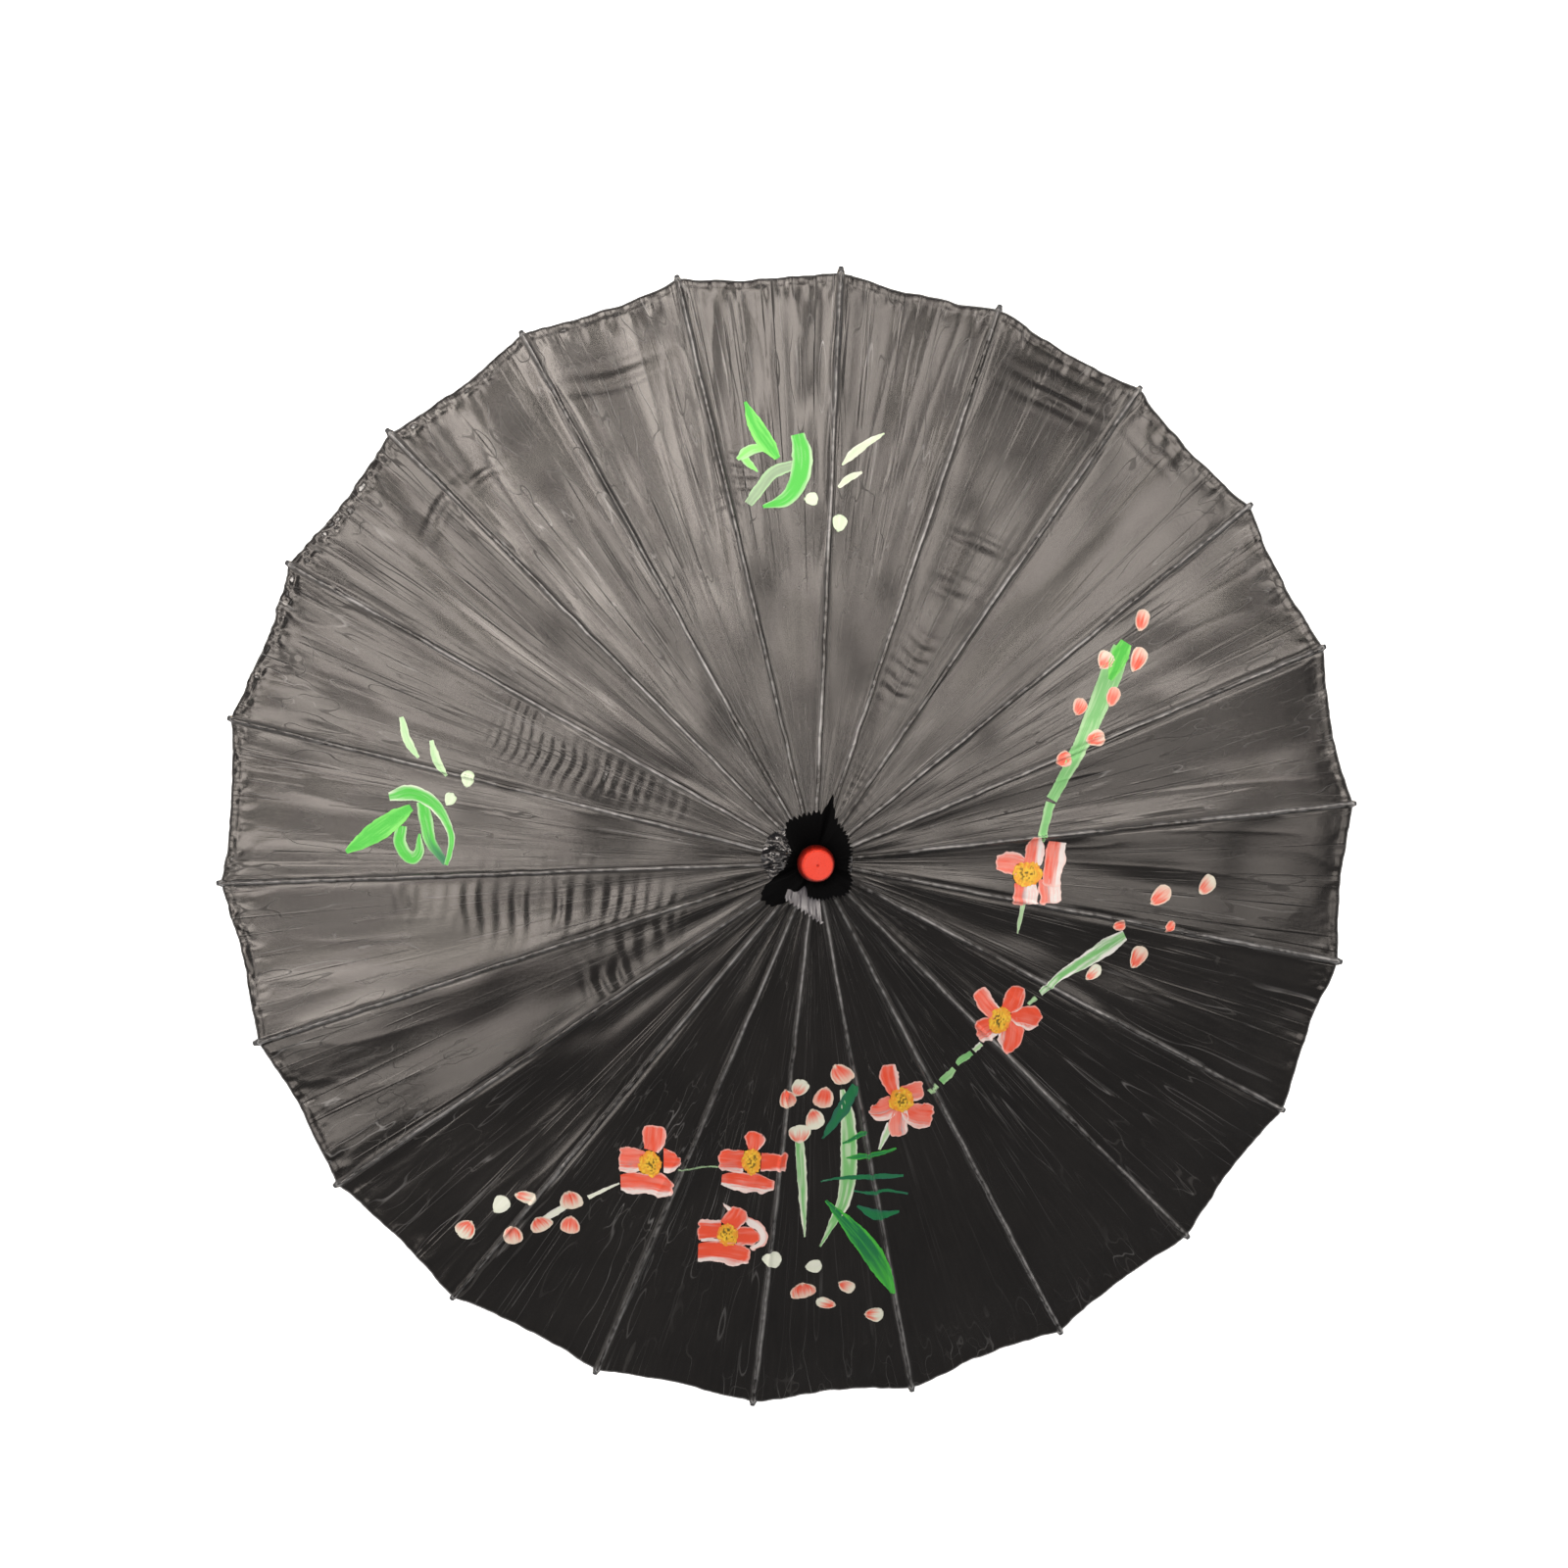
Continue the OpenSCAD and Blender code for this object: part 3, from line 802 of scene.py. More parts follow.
def curve(points, step):
    """A smooth line through the points, at places about step apart: points, unit sides, share and length."""
    points = np.asarray(points, float)
    ends = np.concatenate([[2 * points[0] - points[1]], points, [2 * points[-1] - points[-2]]])
    fine = []
    for a, b, c, d in zip(ends[:-3], ends[1:-2], ends[2:-1], ends[3:]):
        t = np.linspace(0, 1, 40, endpoint=False)[:, None]
        bend, twist = 2 * a - 5 * b + 4 * c - d, 3 * b - a - 3 * c + d
        fine.append(0.5 * (2 * b + (c - a) * t + bend * t**2 + twist * t**3))
    fine = np.concatenate([*fine, points[-1:]])
    run = np.concatenate([[0], np.cumsum(np.linalg.norm(np.diff(fine, axis=0), axis=1))])
    count = max(8, int(run[-1] / step))
    at = np.linspace(0, run[-1], count + 1)
    line = np.stack([np.interp(at, run, fine[:, i]) for i in (0, 1)], -1)
    ahead = np.gradient(line, axis=0)
    ahead /= np.linalg.norm(ahead, axis=1, keepdims=True)
    side = np.stack([-ahead[:, 1], ahead[:, 0]], -1)
    return line, side, at / run[-1], run[-1]


films = []


def film(x, y, colour, layer, relief):
    """Adds one film of paint: a grid of plan points with their colours, its layer and its brush relief."""
    radius = np.hypot(x, y)
    azimuth = np.arctan2(y, x) + PLAN_TURN
    offset = np.abs(off_rib(azimuth))
    on_rib = radius * np.cos(HALF - offset) / math.cos(HALF)
    out = np.clip((on_rib - CROWN) / (HEM - CROWN), 0, 1)
    on_rib = on_rib + SCALLOP * (1 - (1 - offset / HALF) ** 2) * out**6
    points, _ = cloth_points(azimuth, on_rib, PAINT_LIFT + PAINT_LAYER * layer + relief)
    normals = grid_normals(points)
    if normals[..., 2].mean() < 0:
        normals = -normals
    films.append((points, normals, colour, PAINT_DEPTH + PAINT_LAYER * layer))


def stroke(points, widths, core, edge, layer=0, streak=0.5, ragged=0.3, step=0.8, tail=None):
    """A brush stroke along a smooth line, with the edge colour along its sides and in streaks."""
    seed = 100 + len(films) * 7
    line, side, t, length = curve(points, step)
    width = np.interp(t, np.linspace(0, 1, len(widths)), widths)
    columns = max(6, int(max(widths) / step))
    v = np.linspace(-1, 1, columns + 1)[None, :]
    t, width = t[:, None], width[:, None]
    run = t * length
    wobble = ragged * (noise(run / 5 + 3 * np.sign(v), v, seed) + 0.6 * noise(run / 1.8, v * 2, seed + 1))
    reach = v * width / 2 + wobble * np.abs(v) ** 3
    x = line[:, :1] + side[:, :1] * reach
    y = line[:, 1:] + side[:, 1:] * reach
    bristle = noise(v * width / 1.3, run / 16, seed + 2)
    broad = noise(v * width / 4, run / 22, seed + 3)
    share = smooth(0.5, 1.0, np.abs(v) + 0.25 * broad) * 0.85
    share = share + streak * smooth(0.05, 0.75, bristle + 0.5 * broad)
    colour = mix(core, edge, np.clip(share, 0, 1))
    if tail is not None:
        colour = mix(colour, tail, smooth(0.45, 1.0, t + 0.15 * broad) * 0.85)
    film(x, y, colour, layer, 0.07 * bristle + 0.05 * np.abs(v) ** 4)


def dab(points, widths, pale, side, grey, soft, layer):
    """A petal: one wide dab of a brush loaded with red on one side and white on the other.

    Pale is the share of the width that is white, side the side it is on, grey the amount of smeared paint,
    and soft how pink the red is."""
    seed = 900 + len(films) * 11
    line, across, t, length = curve(points, 0.7)
    width = np.interp(t, np.linspace(0, 1, len(widths)), widths)
    v = np.linspace(-1, 1, int(max(widths) / 0.7) + 1)[None, :]
    t, width = t[:, None], width[:, None]
    run = t * length
    corner = 0.9 * noise(np.sign(v) * 3 + run / 6, 0 * v, seed) + 0.35 * noise(run / 2, v * 2, seed + 1)
    reach = v * width / 2 + corner * np.abs(v) ** 2 * np.sign(v)
    ahead = np.stack([across[:, 1], -across[:, 0]], -1)
    blunt = (0.9 * noise(v * width / 5, 0 * t + 0.3, seed + 2) - 1.5 * v**4) * t**4
    x = line[:, :1] + across[:, :1] * reach + ahead[:, :1] * blunt
    y = line[:, 1:] + across[:, 1:] * reach + ahead[:, 1:] * blunt
    bristle = noise(v * width / 1.7, run / 13, seed + 3)
    fine = noise(v * width / 0.8, run / 8, seed + 4)
    patch = noise(v * width / 6, run / 7, seed + 5)
    blush = np.clip(soft + 0.3 * bristle + 0.25 * patch, 0, 1)
    colour = mix(CORAL, ROSE, blush)
    white_edge = 1 - 2 * pale
    loaded = smooth(white_edge - 0.25, white_edge + 0.3, v * side + 0.16 * bristle + 0.1 * fine)
    whiteness = np.clip(loaded * smooth(0, 0.06, pale), 0, 1)
    smear = smooth(0.0, 0.5, fine + 0.6 * bristle)
    smear = smear * smooth(white_edge - 0.7, white_edge, v * side + 0.2 * patch)
    colour = mix(colour, GREY_ROSE, np.clip(smear * grey, 0, 1))
    colour = mix(colour, WHITE, whiteness * (0.9 - 0.3 * grey * smooth(0.1, 0.6, -fine)))
    sides = smooth(1 - 2.4 / width, 1 - 1.0 / width, np.abs(v) + 0.03 * fine)
    rim = np.maximum(smooth(0.93, 0.98, t + 0.012 * fine), sides)
    colour = mix(colour, BLUSH, rim * (0.55 + 0.25 * soft) * smooth(0.1, 0.35, t))
    film(x, y, colour, layer, 0.07 * bristle + 0.05 * fine + 0.06 * rim)


def heart(x, y, half_width, half_height, layer):
    """The flower's centre: a ragged disc of yellow with olive stipple."""
    seed = 3000 + len(films)
    count = int(4 * half_height)
    u = np.linspace(-1, 1, count + 1)[:, None]
    v = np.linspace(-1, 1, count + 1)[None, :]
    # A square grid drawn in to a round one
    gx = u * np.sqrt(1 - v**2 / 2)
    gy = v * np.sqrt(1 - u**2 / 2)
    turn = np.arctan2(gy, gx)
    ragged = 1 + 0.1 * noise(turn * 2.2, 0 * turn, seed) + 0.06 * noise(turn * 7, 0 * turn, seed + 1)
    px, py = x + gx * half_width * ragged, y + gy * half_height * ragged
    far = np.hypot(gx, gy)
    dots = noise(px / 1.0, py / 1.3, seed + 2)
    blobs = noise(px / 2.6, py / 3.4, seed + 3)
    colour = mix(YELLOW, ORANGE, smooth(0.5, 1.05, far + 0.3 * blobs) * 0.8)
    colour = mix(colour, GOLD, smooth(0.15, 0.6, dots) * 0.8)
    colour = mix(colour, OLIVE, smooth(0.08, 0.4, -dots) * (1 - smooth(0.3, 0.7, far + 0.25 * blobs)))
    film(px, py, colour, layer, 0.16 * dots + 0.1 * blobs)


def bud(x, y, angle, length, width, red, layer=1):
    """A bud or loose petal: a drop whose red end fades into cream towards angle."""
    seed = 5000 + len(films) * 5
    upper_group = y > 0
    c, s = math.cos(math.radians(angle)), math.sin(math.radians(angle))
    step = 0.75
    rows, columns = max(10, int(length / step)), max(8, int(width / step))
    t = np.linspace(0, 1, rows + 1)[:, None]
    v = np.linspace(-1, 1, columns + 1)[None, :]
    places, breadths = [0, 0.08, 0.25, 0.5, 0.75, 0.92, 1], [0.18, 0.42, 0.74, 0.97, 1.0, 0.78, 0.42]
    profile = np.interp(t, places, breadths)
    half = profile * width / 2 * (1 + 0.1 * noise(t * 3 + np.sign(v) * 3, 0 * v + 2, seed))
    along = (t - 0.5) * length - 0.7 * v**2 * (2 * t - 1) ** 3
    across = v * half
    x = x + c * along - s * across
    y = y + s * along + c * across
    bristle = noise(v * width / 1.6, t * length / 9, seed + 1)
    edge = smooth(0.6, 0.95, np.maximum(np.abs(v), np.abs(2 * t - 1)) + 0.15 * bristle)
    fade = smooth(0.25, 0.95, t + 0.18 * bristle + 0.5 * (0.6 - red)) * (1.25 - 0.75 * red)
    colour = mix(CORAL, ROSE, np.clip(0.35 + 0.5 * bristle + 0 * t, 0, 1))
    colour = mix(colour, CREAM, np.clip(np.maximum(fade, edge * (1.1 - 0.5 * red)), 0, 0.96))
    if red <= 0:
        # A plain dot: greenish white in the two upper groups
        plain = np.array(PALE_GREEN if upper_group else CREAM)
        colour = mix(plain, WHITE, np.clip(0.2 + 0.5 * bristle, 0, 1) * 0.5)
    film(x, y, colour, layer, 0.08 * bristle + 0.04 * edge)


# Flowers: the centre's plan x, y and half axes, then its dabs: line, widths, pale share, pale side, grey
# and soft
FLOWERS = [
    ((-106.5, -217, 8, 9.5), [
        ([(-97, -214), (-85, -214)], [17, 17, 13.5, 6], 0.22, -1, 0.2, 0.2),
        ([(-127, -233), (-108, -232.5), (-90.5, -235)], [12, 16.5, 15.5, 18, 11], 0.24, -1, 0.3, 0.25),
        ([(-110, -215), (-128, -214)], [13, 18, 19.5, 18], 0.16, 1, 0.75, 0.35),
        ([(-106, -207), (-104, -200), (-102.5, -189)], [9, 14.5, 15.5, 14], 0.08, -1, 0.0, 0.3)]),
    ((-36.5, -214.5, 6.5, 10), [
        ([(-30, -214), (-12, -214.5)], [14, 14, 13, 13.5], 0.08, -1, 0.1, 0.0),
        ([(-57, -229), (-40, -230.5), (-20, -233)], [9, 15, 15.5, 15, 9], 0.26, -1, 0.35, 0.1),
        ([(-42, -214), (-59, -213.5)], [17, 18.5, 18, 15], 0.14, 1, 0.5, 0.12),
        ([(-35, -205), (-33.5, -191.5)], [6, 12, 15, 11], 0.06, -1, 0.0, 0.05)]),
    ((-52.5, -272.5, 7.5, 9), [
        ([(-56, -248), (-50, -254)], [1.5, 4, 5], 0.9, 1, 0.0, 0.5),
        ([(-40, -259), (-29.5, -268), (-27.5, -277), (-36, -284)], [3, 7, 6, 5, 3], 0.9, -1, 0.0, 0.5),
        ([(-57, -269), (-73, -268.5)], [15, 15.5, 15.5], 0.1, -1, 0.15, 0.05),
        ([(-46, -274), (-30, -273)], [14, 16.5, 15, 9], 0.05, -1, 0.0, 0.0),
        ([(-73, -286.5), (-55, -287), (-36.5, -291)], [15, 15.5, 17, 18, 11], 0.2, -1, 0.15, 0.0),
        ([(-71, -277), (-57, -277.5)], [2.2, 3, 2.6], 0.8, 1, 0.0, 0.6),
        ([(-52, -266), (-46.5, -258), (-43.5, -251.5)], [12, 15, 15.5, 11], 0.05, -1, 0.0, 0.08)]),
    ((66, -170.5, 8.5, 9.5), [
        ([(66, -166), (81, -163)], [10, 14, 15, 12.5], 0.12, -1, 0.3, 0.55),
        ([(60, -174), (51, -177.5), (43.5, -176)], [14, 17, 15, 5], 0.22, 1, 0.7, 0.45),
        ([(65, -178), (64.5, -188), (65.5, -198)], [10, 13, 14, 9.5], 0.2, 1, 0.95, 0.7),
        ([(68, -177), (78, -182), (88.5, -183)], [8, 16, 20, 16], 0.1, -1, 0.25, 0.4),
        ([(61, -166), (57, -154), (55, -144)], [8, 11.5, 13, 9.5], 0.12, -1, 0.1, 0.25)]),
    ((132.5, -115, 8.5, 9), [
        ([(130, -118), (122, -121.5), (116.5, -124)], [12, 18, 15], 0.26, 1, 0.5, 0.25),
        ([(141, -114), (141, -127), (138.5, -139)], [12, 20, 17, 8], 0.14, -1, 0.35, 0.08),
        ([(141, -111), (152, -114), (163, -117)], [7, 15, 19, 11], 0.14, -1, 0.1, 0.05),
        ([(137, -109), (142, -101), (145, -91)], [8, 16, 16, 9.5], 0.05, -1, 0.0, 0.08),
        ([(130, -111), (122, -102), (115.5, -93)], [9, 12, 12, 10], 0.06, -1, 0.0, 0.3)]),
    ((150, -14, 10.5, 8.5), [
        ([(166, -18), (166.5, -35)], [15, 16, 15.5], 0.5, 1, 0.8, 0.7),
        ([(148, -20), (147.5, -35)], [16, 19, 18.5], 0.5, 1, 0.8, 0.5),
        ([(172, 7), (170, -8), (167, -23)], [14, 16, 14.5, 14], 0.38, 1, 0.25, 0.5),
        ([(147, -8), (136, -5.5), (126.5, -5)], [11, 14.5, 14.5, 11], 0.08, -1, 0.1, 0.7),
        ([(154, -8), (155.5, 2), (155.5, 11)], [12, 15.5, 15, 9], 0.36, -1, 0.5, 0.5)]),
]
# Buds: plan x and y, direction of the pale end, length, width, how red
BUDS = [
    (241, 160, 72, 16, 11, 0.7), (236, 132, 62, 19, 12, 0.75), (211, 131, 50, 14, 13, 0.6),
    (216, 106, 66, 15, 10, 0.95), (190, 99, 62, 13, 11, 0.85), (200, 77, 12, 15, 11, 0.8),
    (176, 63, 20, 12, 11, 1.0), (252, -34, 32, 19, 12, 0.7), (289, -28, 45, 16, 13, 0.5),
    (219, -53, 10, 10, 8, 1.0), (259, -56, 42, 10, 6.5, 1.0), (236, -77, 60, 17, 13, 0.65),
    (202, -86, 38, 14, 9, 0.35), (23, -149, -55, 16, 16, 0.75), (12, -167, -100, 16, 15, 0.8),
    (-5, -159, 60, 13, 12, 0.35), (-13, -166, -75, 14, 11, 0.75), (6, -183, -75, 16, 13, 0.4),
    (-4, -194, 90, 14, 15, 0.35), (-21, -291, 0, 14, 13, 0.0), (9, -298, 0, 12, 11, 0.0),
    (2, -318, -78, 13, 19, 0.75), (33, -315, -30, 13, 10, 0.5), (19, -329, 165, 15, 9, 0.4),
    (54, -339, -5, 14, 12, 0.35), (-162, -247, -80, 15, 17, 0.6), (-194, -246, -10, 16, 9.5, 0.5),
    (-212, -253, 50, 15, 12, 0.0), (-238, -274, -125, 16, 14, 0.45), (-204, -276, -85, 15, 14, 0.65),
    (-184, -267, -58, 12, 17, 0.6), (-163, -267, -95, 14, 15, 0.8), (5, 241, 0, 9.5, 9.5, 0.0),
    (24, 224, 80, 12, 10.5, 0.0), (-229, 50, 80, 11.5, 9, 0.0), (-242, 36, 60, 10, 8, 0.0),
]


def paint_leaves():
    """The green strokes of the four groups."""
    stroke([(-39, 312), (-30, 291), (-17, 271)], [1.5, 7, 11, 12.5, 11, 4], LEAF, LEAF_LIGHT, 1)
    stroke([(-25, 278), (-35, 277), (-45, 270)], [3, 6, 8, 7, 3], LEAF_LIGHT, STEM_PALE)
    stroke([(-40, 271), (-37, 267), (-31, 261)], [6, 4.5, 1], LEAF_LIGHT, STEM_PALE)
    stroke([(-6, 266), (-20, 261), (-30, 249), (-38, 238)], [7, 8.5, 8, 7.5, 6], DRY, STEM_PALE, streak=0.25)
    stroke([(-3, 288), (0, 272), (-3, 255), (-12, 242), (-28, 236)], [9, 14, 14, 12, 9, 2], LEAF, STEM_PALE,
           1, 0.3)
    stroke([(27, 265), (40, 278), (58, 290)], [1, 5.5, 5.5, 4, 1], PALE_GREEN, CREAM, streak=0.3)
    stroke([(24, 249), (32, 256), (41, 261)], [1.5, 4.8, 4, 1], PALE_GREEN, CREAM, streak=0.3)
    stroke([(-277, 92), (-272, 76), (-264, 64)], [3, 5.5, 6, 2], STEM_PALE, PALE_GREEN)
    stroke([(-255, 76), (-251, 63), (-244, 52)], [2, 6, 6, 2], STEM_PALE, PALE_GREEN)
    stroke([(-262, 34), (-259, 19), (-255, 5), (-245, -8)], [8, 10, 9, 7, 4], LEAF, STEM_PALE, 0, 0.25,
           tail=TEAL)
    stroke([(-286, 37), (-269, 40), (-254, 33), (-244, 19), (-241, 6), (-245, -9)], [6, 11, 10, 8, 5, 4, 3],
           LEAF, CREAM, 1, 0.15)
    stroke([(-277, 17), (-278, 5), (-270, -5), (-264, 0), (-264, 12)], [8, 9, 9, 7, 1.5], LEAF, STEM_PALE, 1)
    stroke([(-317, -2), (-293, 14), (-270, 30)], [3, 10, 14, 14.5, 12, 5], LEAF, LEAF_LIGHT, 2)
    stroke([(224, 140), (204, 99), (184, 64), (168, 36)], [13, 17, 14, 11, 9.5, 8], STEM, STEM_PALE, 0, 0.6)
    stroke([(228, 144), (222, 134), (214, 118)], [9, 13, 11, 4], LEAF, LEAF_LIGHT, 1, 0.5)
    stroke([(167, 34), (163, 22), (159, 8)], [7, 6.5, 6], STEM, STEM_PALE, 0, 0.6)
    stroke([(146, -34), (145, -42), (144, -55)], [4, 3, 2.5, 0.8], STEM_PALE, CREAM)
    stroke([(224, -60), (196, -77), (178, -86), (161, -97)], [8, 13.5, 11, 8, 6, 4.5], STEM, WHITE, 0, 0.5)
    stroke([(158, -100), (153, -105)], [3, 2.6, 2], STEM_PALE, DRY, ragged=0.6)
    stroke([(120, -131), (115, -136)], [4, 3.6, 3], STEM_PALE, WHITE, ragged=0.7)
    stroke([(114, -138), (104, -146)], [4, 6, 3], STEM, STEM_PALE, ragged=0.6)
    stroke([(102, -149), (93, -158)], [4, 6, 5], STEM, STEM_PALE, ragged=0.6)
    stroke([(90, -160), (85, -165)], [4.5, 5], STEM_PALE, DRY, ragged=0.6)
    stroke([(59, -188), (52, -207)], [6, 5, 1.5], STEM_PALE, WHITE)
    stroke([(-4, -199), (-1, -231), (2, -274)], [6, 7, 6.5, 4.5, 1], STEM, CREAM, 0, 0.5)
    stroke([(24, -161), (29, -184), (31, -220), (29, -244), (23, -260), (13, -282)],
           [3, 9, 11, 11.5, 11, 9, 5, 1], STEM, CREAM, 0, 0.45)
    stroke([(33, -157), (24, -178), (12, -198)], [5, 8.5, 9, 6, 1], LEAF_DARK, TEAL, 1, 0.4)
    stroke([(26, -202), (34, -198), (42, -192)], [1.5, 3.5, 3], LEAF_DARK, LEAF, 1)
    stroke([(29, -213), (43, -211), (56, -209), (64, -207)], [1, 4, 3.5, 3, 1], LEAF_DARK, LEAF, 1)
    stroke([(12, -231), (27, -228), (49, -227), (70, -228)], [0.8, 2, 4, 4, 1.5], LEAF_DARK, TEAL, 1)
    stroke([(35, -238), (48, -240), (58, -238), (74, -242)], [0.8, 3, 2, 1.2], LEAF_DARK, TEAL, 1)
    stroke([(38, -250), (52, -257), (68, -255)], [1, 6, 8, 5, 1.5], LEAF_DARK, TEAL, 1)
    stroke([(16, -246), (42, -276), (57, -300), (67, -321)], [1.2, 8, 14, 15, 12, 3], LEAF_DARK, LEAF, 1,
           0.45, tail=LEAF)
    stroke([(-128, -233), (-150, -245)], [1, 2.8, 3.5], CREAM, WHITE)
    stroke([(-87, -221), (-59, -219)], [0.7, 0.9, 0.7], DRY, STEM_PALE)
    stroke([(-166, -252), (-184, -265)], [4.5, 5.5, 4], CREAM, WHITE)


def paint_blossom():
    """Stems and leaves first, then petals, centres and buds over them."""
    paint_leaves()
    for centre, dabs in FLOWERS:
        for number, petal in enumerate(dabs):
            dab(*petal, 1.0 + 0.5 * number)
        heart(*centre, 4.5)
    for x, y, angle, length, width, red in BUDS:
        bud(x, y, angle, length, width, red)


def make_paint():
    """Cuts the films along the middles of the gores, and joins what lies on each rib's cloth."""
    paint_blossom()
    share = {k: [] for k in ribs}
    for points, normals, colour, depth in films:
        quads = grid_quads(*points.shape[:2])
        flat_points, flat_normals = points.reshape(-1, 3), normals.reshape(-1, 3)
        a, b, c = (flat_points[quads[0, i]] for i in (0, 1, 3))
        if np.dot(np.cross(b - a, c - a), flat_normals[quads[0, 0]]) < 0:
            quads = quads[:, ::-1]
        middle = flat_points[quads].mean(1)
        rib = np.round(np.arctan2(middle[:, 1], middle[:, 0]) / PITCH).astype(int) % RIBS + 1
        for k in np.unique(rib):
            used, local = np.unique(quads[rib == k], return_inverse=True)
            normal = flat_normals[used]
            top = flat_points[used]
            bottom = top - normal * depth * MM
            solid = shell_quads(local.reshape(-1, 4), len(used))
            tint = colour.reshape(-1, 3)[used]
            share[int(k)].append((np.concatenate([top, bottom]), solid, np.concatenate([normal, -normal]),
                                  np.concatenate([tint, tint])))
    for k, parts in share.items():
        if parts:
            starts = np.cumsum([0] + [len(p[0]) for p in parts[:-1]])
            quads = np.concatenate([p[1] + start for p, start in zip(parts, starts)])
            points, normals, tint = (np.concatenate([p[i] for p in parts]) for i in (0, 2, 3))
            rgba = np.concatenate([tint, np.ones((len(tint), 1))], 1)
            piece = build(f"paint_{k:02d}", points, quads, PAINT, normals, {"paint": rgba})
            attach(piece, f"rib_{k:02d}", "cloth")
            narrow(piece)


# ---------------------------------------------------------------- collar, ties and tips
# The collar's upper edge: plan angle, radius and height above the hinge ring
COLLAR_EDGE = [
    (0, 23, 22), (25, 25, 23), (45, 27, 23), (60, 31, 23), (70, 36, 22), (76, 46, 19), (82, 35, 22),
    (100, 33, 23), (125, 33, 22), (138, 26, 22), (150, 19, 21), (170, 18, 20), (188, 19, 18), (200, 27, 12),
    (208, 37, 2), (216, 42, -2), (226, 41, -3), (236, 31, 3), (248, 24, 12), (262, 22, 16), (280, 23, 17),
    (300, 24, 19), (318, 27, 17), (332, 27, 17), (346, 23, 21),
]
# The skirt's lower edge: plan angle and radius
COLLAR_HEM = [(0, 25), (90, 26), (135, 29), (150, 33), (175, 34), (195, 31), (220, 27), (300, 26)]
# Radius and height of the skirt, from the tie outwards
COLLAR_SKIRT = [(11.0, 8.0), (14.0, 6.6), (18.9, 5.6), (22.5, 3.0), (27.0, 0.4)]
COLLAR_CLOTH = 0.35
# The loose end's corners in the plan and above the hinge ring: at the tie left and right, then outside left
# and right
END_AT_TIE = np.array([(-15, -10, 8), (2, -12, 9)], float)
END_OUTSIDE = np.array([(-20, -24, 14), (4, -40, 19)], float)
TIE_HEIGHT = 6.6
TIE_RADIUS = 11.3
THREAD_THICK = 0.64


def around_table(table, plan):
    """Values of a table of plan degrees and numbers, at the plan angles."""
    table = np.array(table, float)
    degrees = np.degrees(plan) % 360
    return [np.interp(degrees, table[:, 0], table[:, i], period=360) for i in range(1, table.shape[1])]


def over_ring(radius, plan, height):
    """Points in metres at a plan radius and angle, and a height above the hinge ring."""
    azimuth = plan + PLAN_TURN
    return np.stack([radius * np.cos(azimuth), radius * np.sin(azimuth), NOTCH + height], -1) * MM


def collar_profile(t, plan):
    """Radius and height of the collar at t: 0 at the skirt's edge, 0.4 at the tie, 1 on top."""
    reach, high = around_table(COLLAR_EDGE, plan)
    hem, = around_table(COLLAR_HEM, plan)
    skirt = np.array(COLLAR_SKIRT)
    low = 1 - np.clip(t / 0.4, 0, 1)
    radius = np.interp(low, np.linspace(0, 1, len(skirt)), skirt[:, 0])
    height = np.interp(low, np.linspace(0, 1, len(skirt)), skirt[:, 1])
    longer = (hem - skirt[-1, 0]) * low**3
    radius, height = radius + longer, height - longer * math.tan(SLOPE)
    up = np.clip((t - 0.4) / 0.6, 0, 1)
    turned = smooth(14, 2, high)
    radius = radius + (reach - skirt[0, 0]) * (1 - np.cos(up * math.pi / 2)) ** (0.85 - 0.2 * turned)
    height = height + (high - skirt[0, 1]) * (np.sin(up * math.pi / 2) * (1 - turned) + up**1.6 * turned)
    height = height + turned * 7.5 * np.sin(up**0.8 * math.pi * 0.93)
    return radius, height


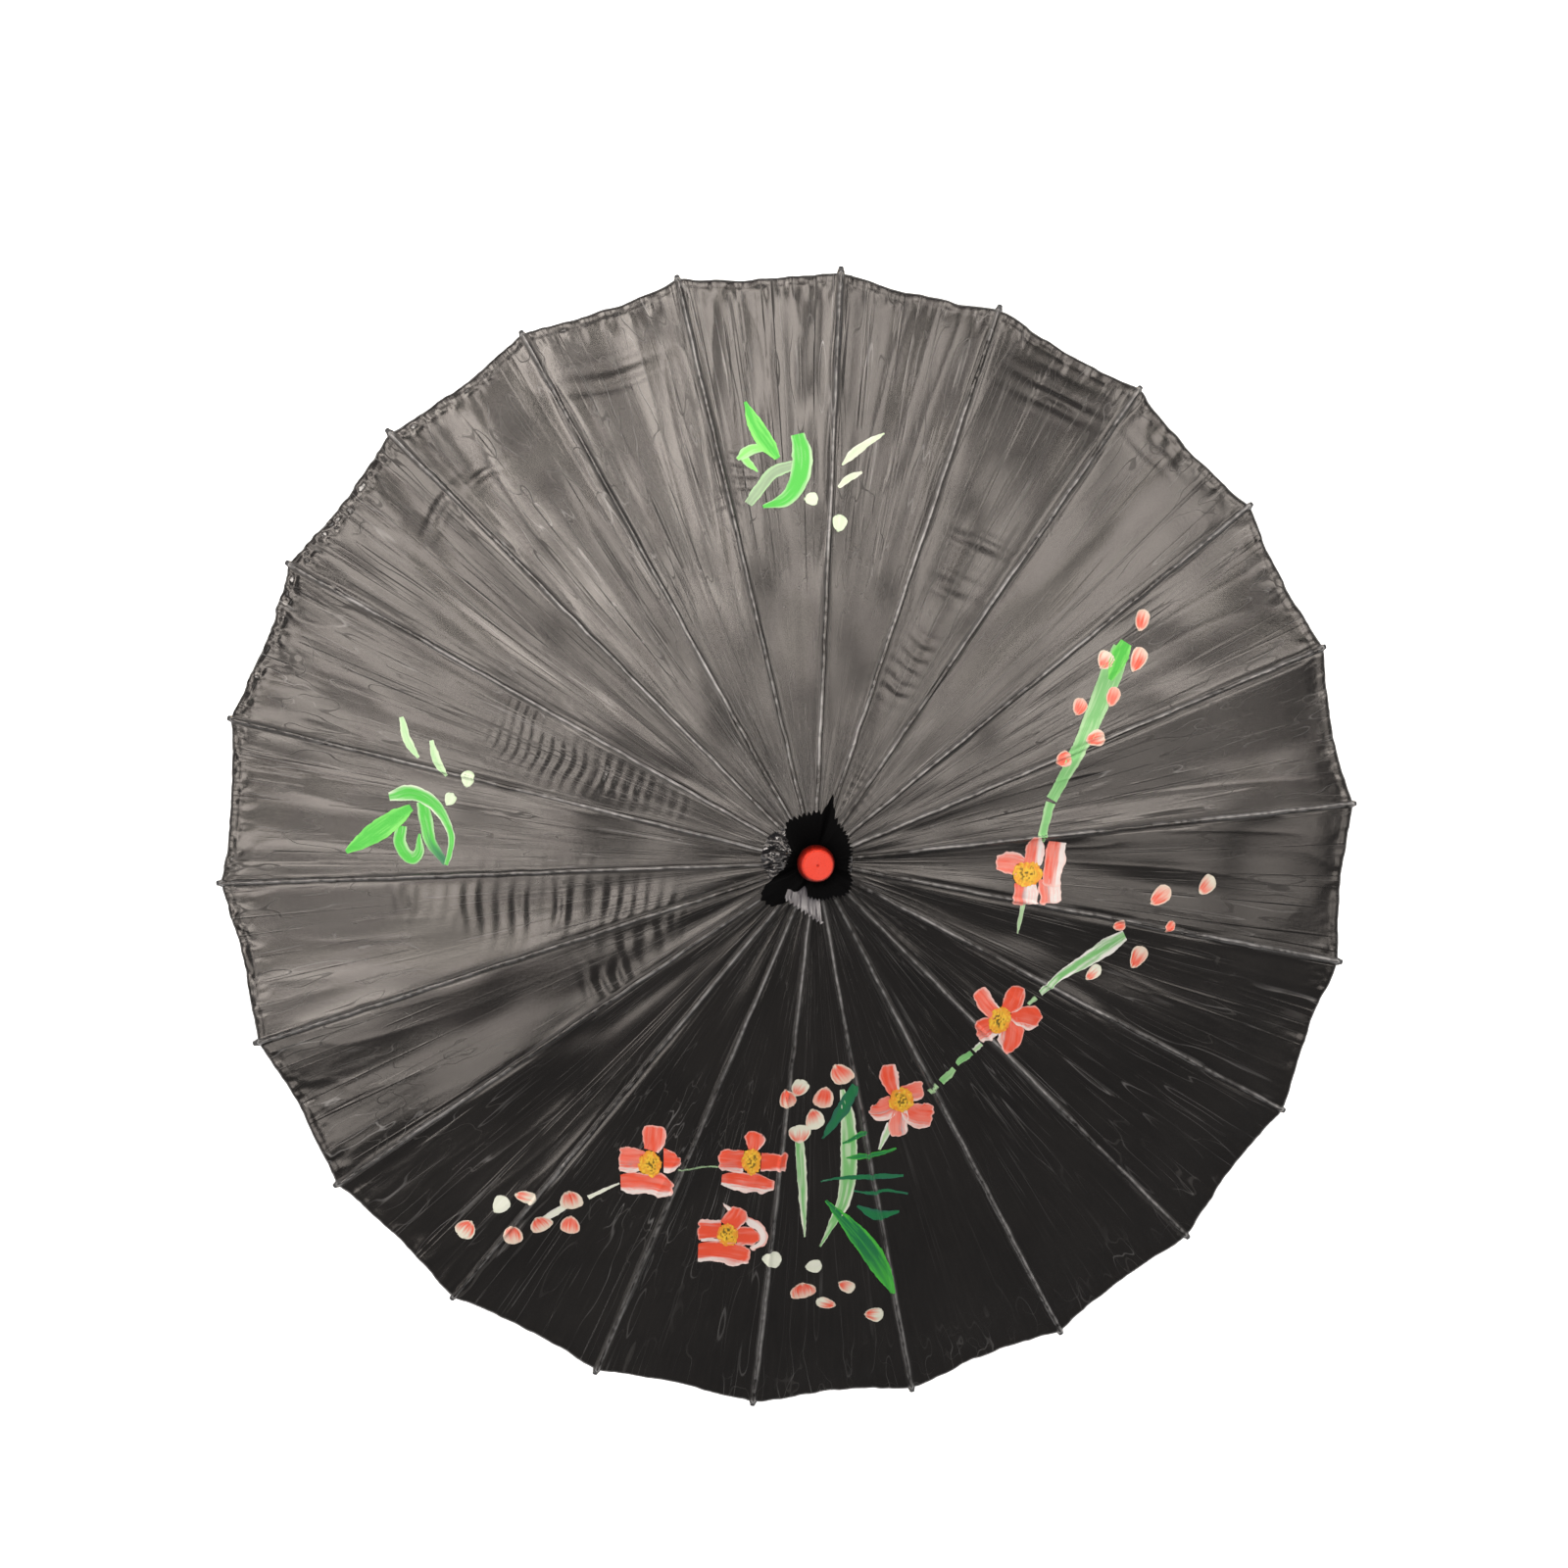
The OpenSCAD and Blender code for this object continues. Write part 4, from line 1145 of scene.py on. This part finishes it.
def make_collar():
    """A strip of satin gathered by the tie: a skirt over the crown and a ruffled cup with a pinked edge."""
    columns, teeth = 720, 64
    t = np.concatenate([np.linspace(0, 0.4, 17), np.linspace(0.4, 1, 33)[1:]])[:, None]
    plan = np.linspace(0, 2 * math.pi, columns, endpoint=False)[None, :]
    turn = plan / (2 * math.pi)
    radius, height = collar_profile(t, plan)
    up, down = np.clip((t - 0.4) / 0.6, 0, 1), np.clip(1 - t / 0.4, 0, 1)
    crumpled = np.exp(-(((np.degrees(plan) - 168) / 42) ** 2))
    ruffle = 1.3 * noise(turn * 17, t * 0.8, 201, 17) + 0.8 * noise(turn * 41, t * 1.5, 202, 41)
    gather = 0.32 * noise(turn * 64, t * 0.6, 203, 64) * np.exp(-(((t - 0.4) / 0.16) ** 2))
    folds = 1.6 * noise(turn * 34, t * 9, 205, 34) + 1.3 * noise(turn * 70, t * 22, 206, 70)
    radius = radius + ruffle * up**1.3 + gather
    height = height + 1.1 * noise(turn * 23, t * 1.2, 204, 23) * up**1.5
    height = height + (0.35 + 1.3 * crumpled) * folds * smooth(0, 0.4, down)
    ragged = 1.9 + 1.6 * noise(turn * 26, 0 * t, 207, 26) ** 2
    tooth = ragged * np.abs((turn * teeth % 1) * 2 - 1) + 1.2 * noise(turn * 15, 0 * t, 208, 15)
    edge = smooth(0.9, 1.0, t)
    slope_r, slope_h = np.gradient(radius, axis=0), np.gradient(height, axis=0)
    size = np.hypot(slope_r, slope_h) + 1e-9
    radius = radius - slope_r / size * tooth * edge
    height = height - slope_h / size * tooth * edge
    points = over_ring(radius, plan, height)
    wrapped = np.concatenate([points[:, -1:], points, points[:, :1]], 1)
    normals = -grid_normals(wrapped)[:, 1:-1]
    quads = grid_quads(len(t), columns, closed=True)[:, ::-1]
    thread = np.stack([plan * 24 + 0 * t, 45 * t + 0 * plan, np.full(radius.shape, 0.3)], -1)
    piece = shell("collar", points, quads, normals, COLLAR_CLOTH, COLLAR_SATIN, thread=thread)
    # The wrong side of the cloth is dull, and nearer black as painted shade
    piece.data.materials.append(COLLAR_DULL_SHADED_BACK)
    back = np.arange(len(piece.data.polygons)) >= len(quads)
    piece.data.polygons.foreach_set("material_index", back.astype(np.int32))
    attach(piece, "frame", "collar_cloth", "head_collar")


def make_collar_end():
    """The strip's loose end, right side up, with its own pinked edge, in a paler satin that is painted
    highlight.
    """
    rows, columns, teeth = 30, 120, 10
    v = np.linspace(0, 1, rows + 1)[:, None, None]
    u = np.linspace(0, 1, columns + 1)[None, :, None]
    at_tie = (1 - u) * END_AT_TIE[0] + u * END_AT_TIE[1]
    outside = (1 - u) * END_OUTSIDE[0] + u * END_OUTSIDE[1]
    flap = (1 - v) * at_tie + v * outside
    u, v = u[..., 0], v[..., 0]
    flap[..., 2] += 2.2 * np.sin(math.pi * v) * (0.6 + 0.4 * u) + 0.8 * noise(u * 4, v * 2, 221) * v
    flap[..., 2] += 0.5 * noise(u * 11, v * 3, 222) * v
    tooth = 2.6 * np.abs((u * teeth % 1) * 2 - 1) * smooth(0.88, 1, v)
    flap[..., 0] += 0.45 * tooth
    flap[..., 1] += 0.9 * tooth
    x, y, height = np.moveaxis(flap, -1, 0)
    points = over_ring(np.hypot(x, y), np.arctan2(y, x), height)
    normals = grid_normals(points)
    quads = grid_quads(rows + 1, columns + 1)
    if normals[..., 2].mean() < 0:
        normals = -normals
        quads = quads[:, ::-1]
    thread = np.stack([20 * u + 0 * v, 25 * v + 0 * u, np.full(x.shape, 0.3)], -1)
    piece = shell("collar_end", points, quads, normals, COLLAR_CLOTH, LIT_FLAP_SATIN, thread=thread)
    attach(piece, "frame", "collar_cloth", "head_collar")


def make_collar_thread():
    """Thread wound six times round the collar, over the notch's neck."""
    turns, per_turn = 6, 48
    angle = np.arange(turns * per_turn + 1) / per_turn * 2 * math.pi
    radius = TIE_RADIUS + 0.12 * np.sin(angle * 2.7)
    height = TIE_HEIGHT + 0.42 * angle / (2 * math.pi)
    path = np.stack([radius * np.cos(angle), radius * np.sin(angle), NOTCH + height], -1)
    points, quads = tube(path, THREAD_THICK / 2)
    piece = build("collar_thread", points, quads, THREAD)
    attach(piece, "frame", "thread", "collar_tie")


def make_tip(k):
    """The hem's corner, wrapped round the rib's end and tied."""
    end = (TIP - RING) / math.cos(SLOPE)
    # Rings along the rib, and their half widths and heights
    s = end + np.array([-8, -7.6, -5.6, -5.2, -4.8, -3.6, -3.2, -2.3, -1.9, -0.9, 0.1, 0.8, 1.1])
    half_width = np.array([2.1, 2.4, 2.4, 2.7, 2.75, 2.7, 2.4, 2.35, 1.9, 2.0, 1.8, 1.2, 0.2])
    half_height = np.array([2.2, 2.4, 2.4, 2.6, 2.65, 2.6, 2.4, 2.3, 1.6, 1.6, 1.5, 1.0, 0.2])
    turn = np.linspace(0, 2 * math.pi, 20, endpoint=False)
    square = (np.abs(np.cos(turn)) ** 4 + np.abs(np.sin(turn)) ** 4) ** -0.25
    ragged = 1 + 0.05 * noise(turn * 2.2, s[:, None] / 1.5, 400 + k)
    side = half_width[:, None] * square * np.cos(turn) * ragged
    up = half_height[:, None] * square * np.sin(turn) * ragged
    points = along_rib(k, np.broadcast_to(s[:, None], side.shape), side, up).reshape(-1, 3)
    quads = np.concatenate([grid_quads(*side.shape, closed=True), end_caps(*side.shape)])
    piece = build(f"tip_{k:02d}", points, quads, THREAD)
    attach(piece, f"rib_{k:02d}", "thread")


# ---------------------------------------------------------------- everything in its order
make_camera()
make_studio()
finish_cad_nodes()
make_canopy()
for rib_number in ribs:
    make_tip(rib_number)
make_paint()
make_collar()
make_collar_end()
make_collar_thread()
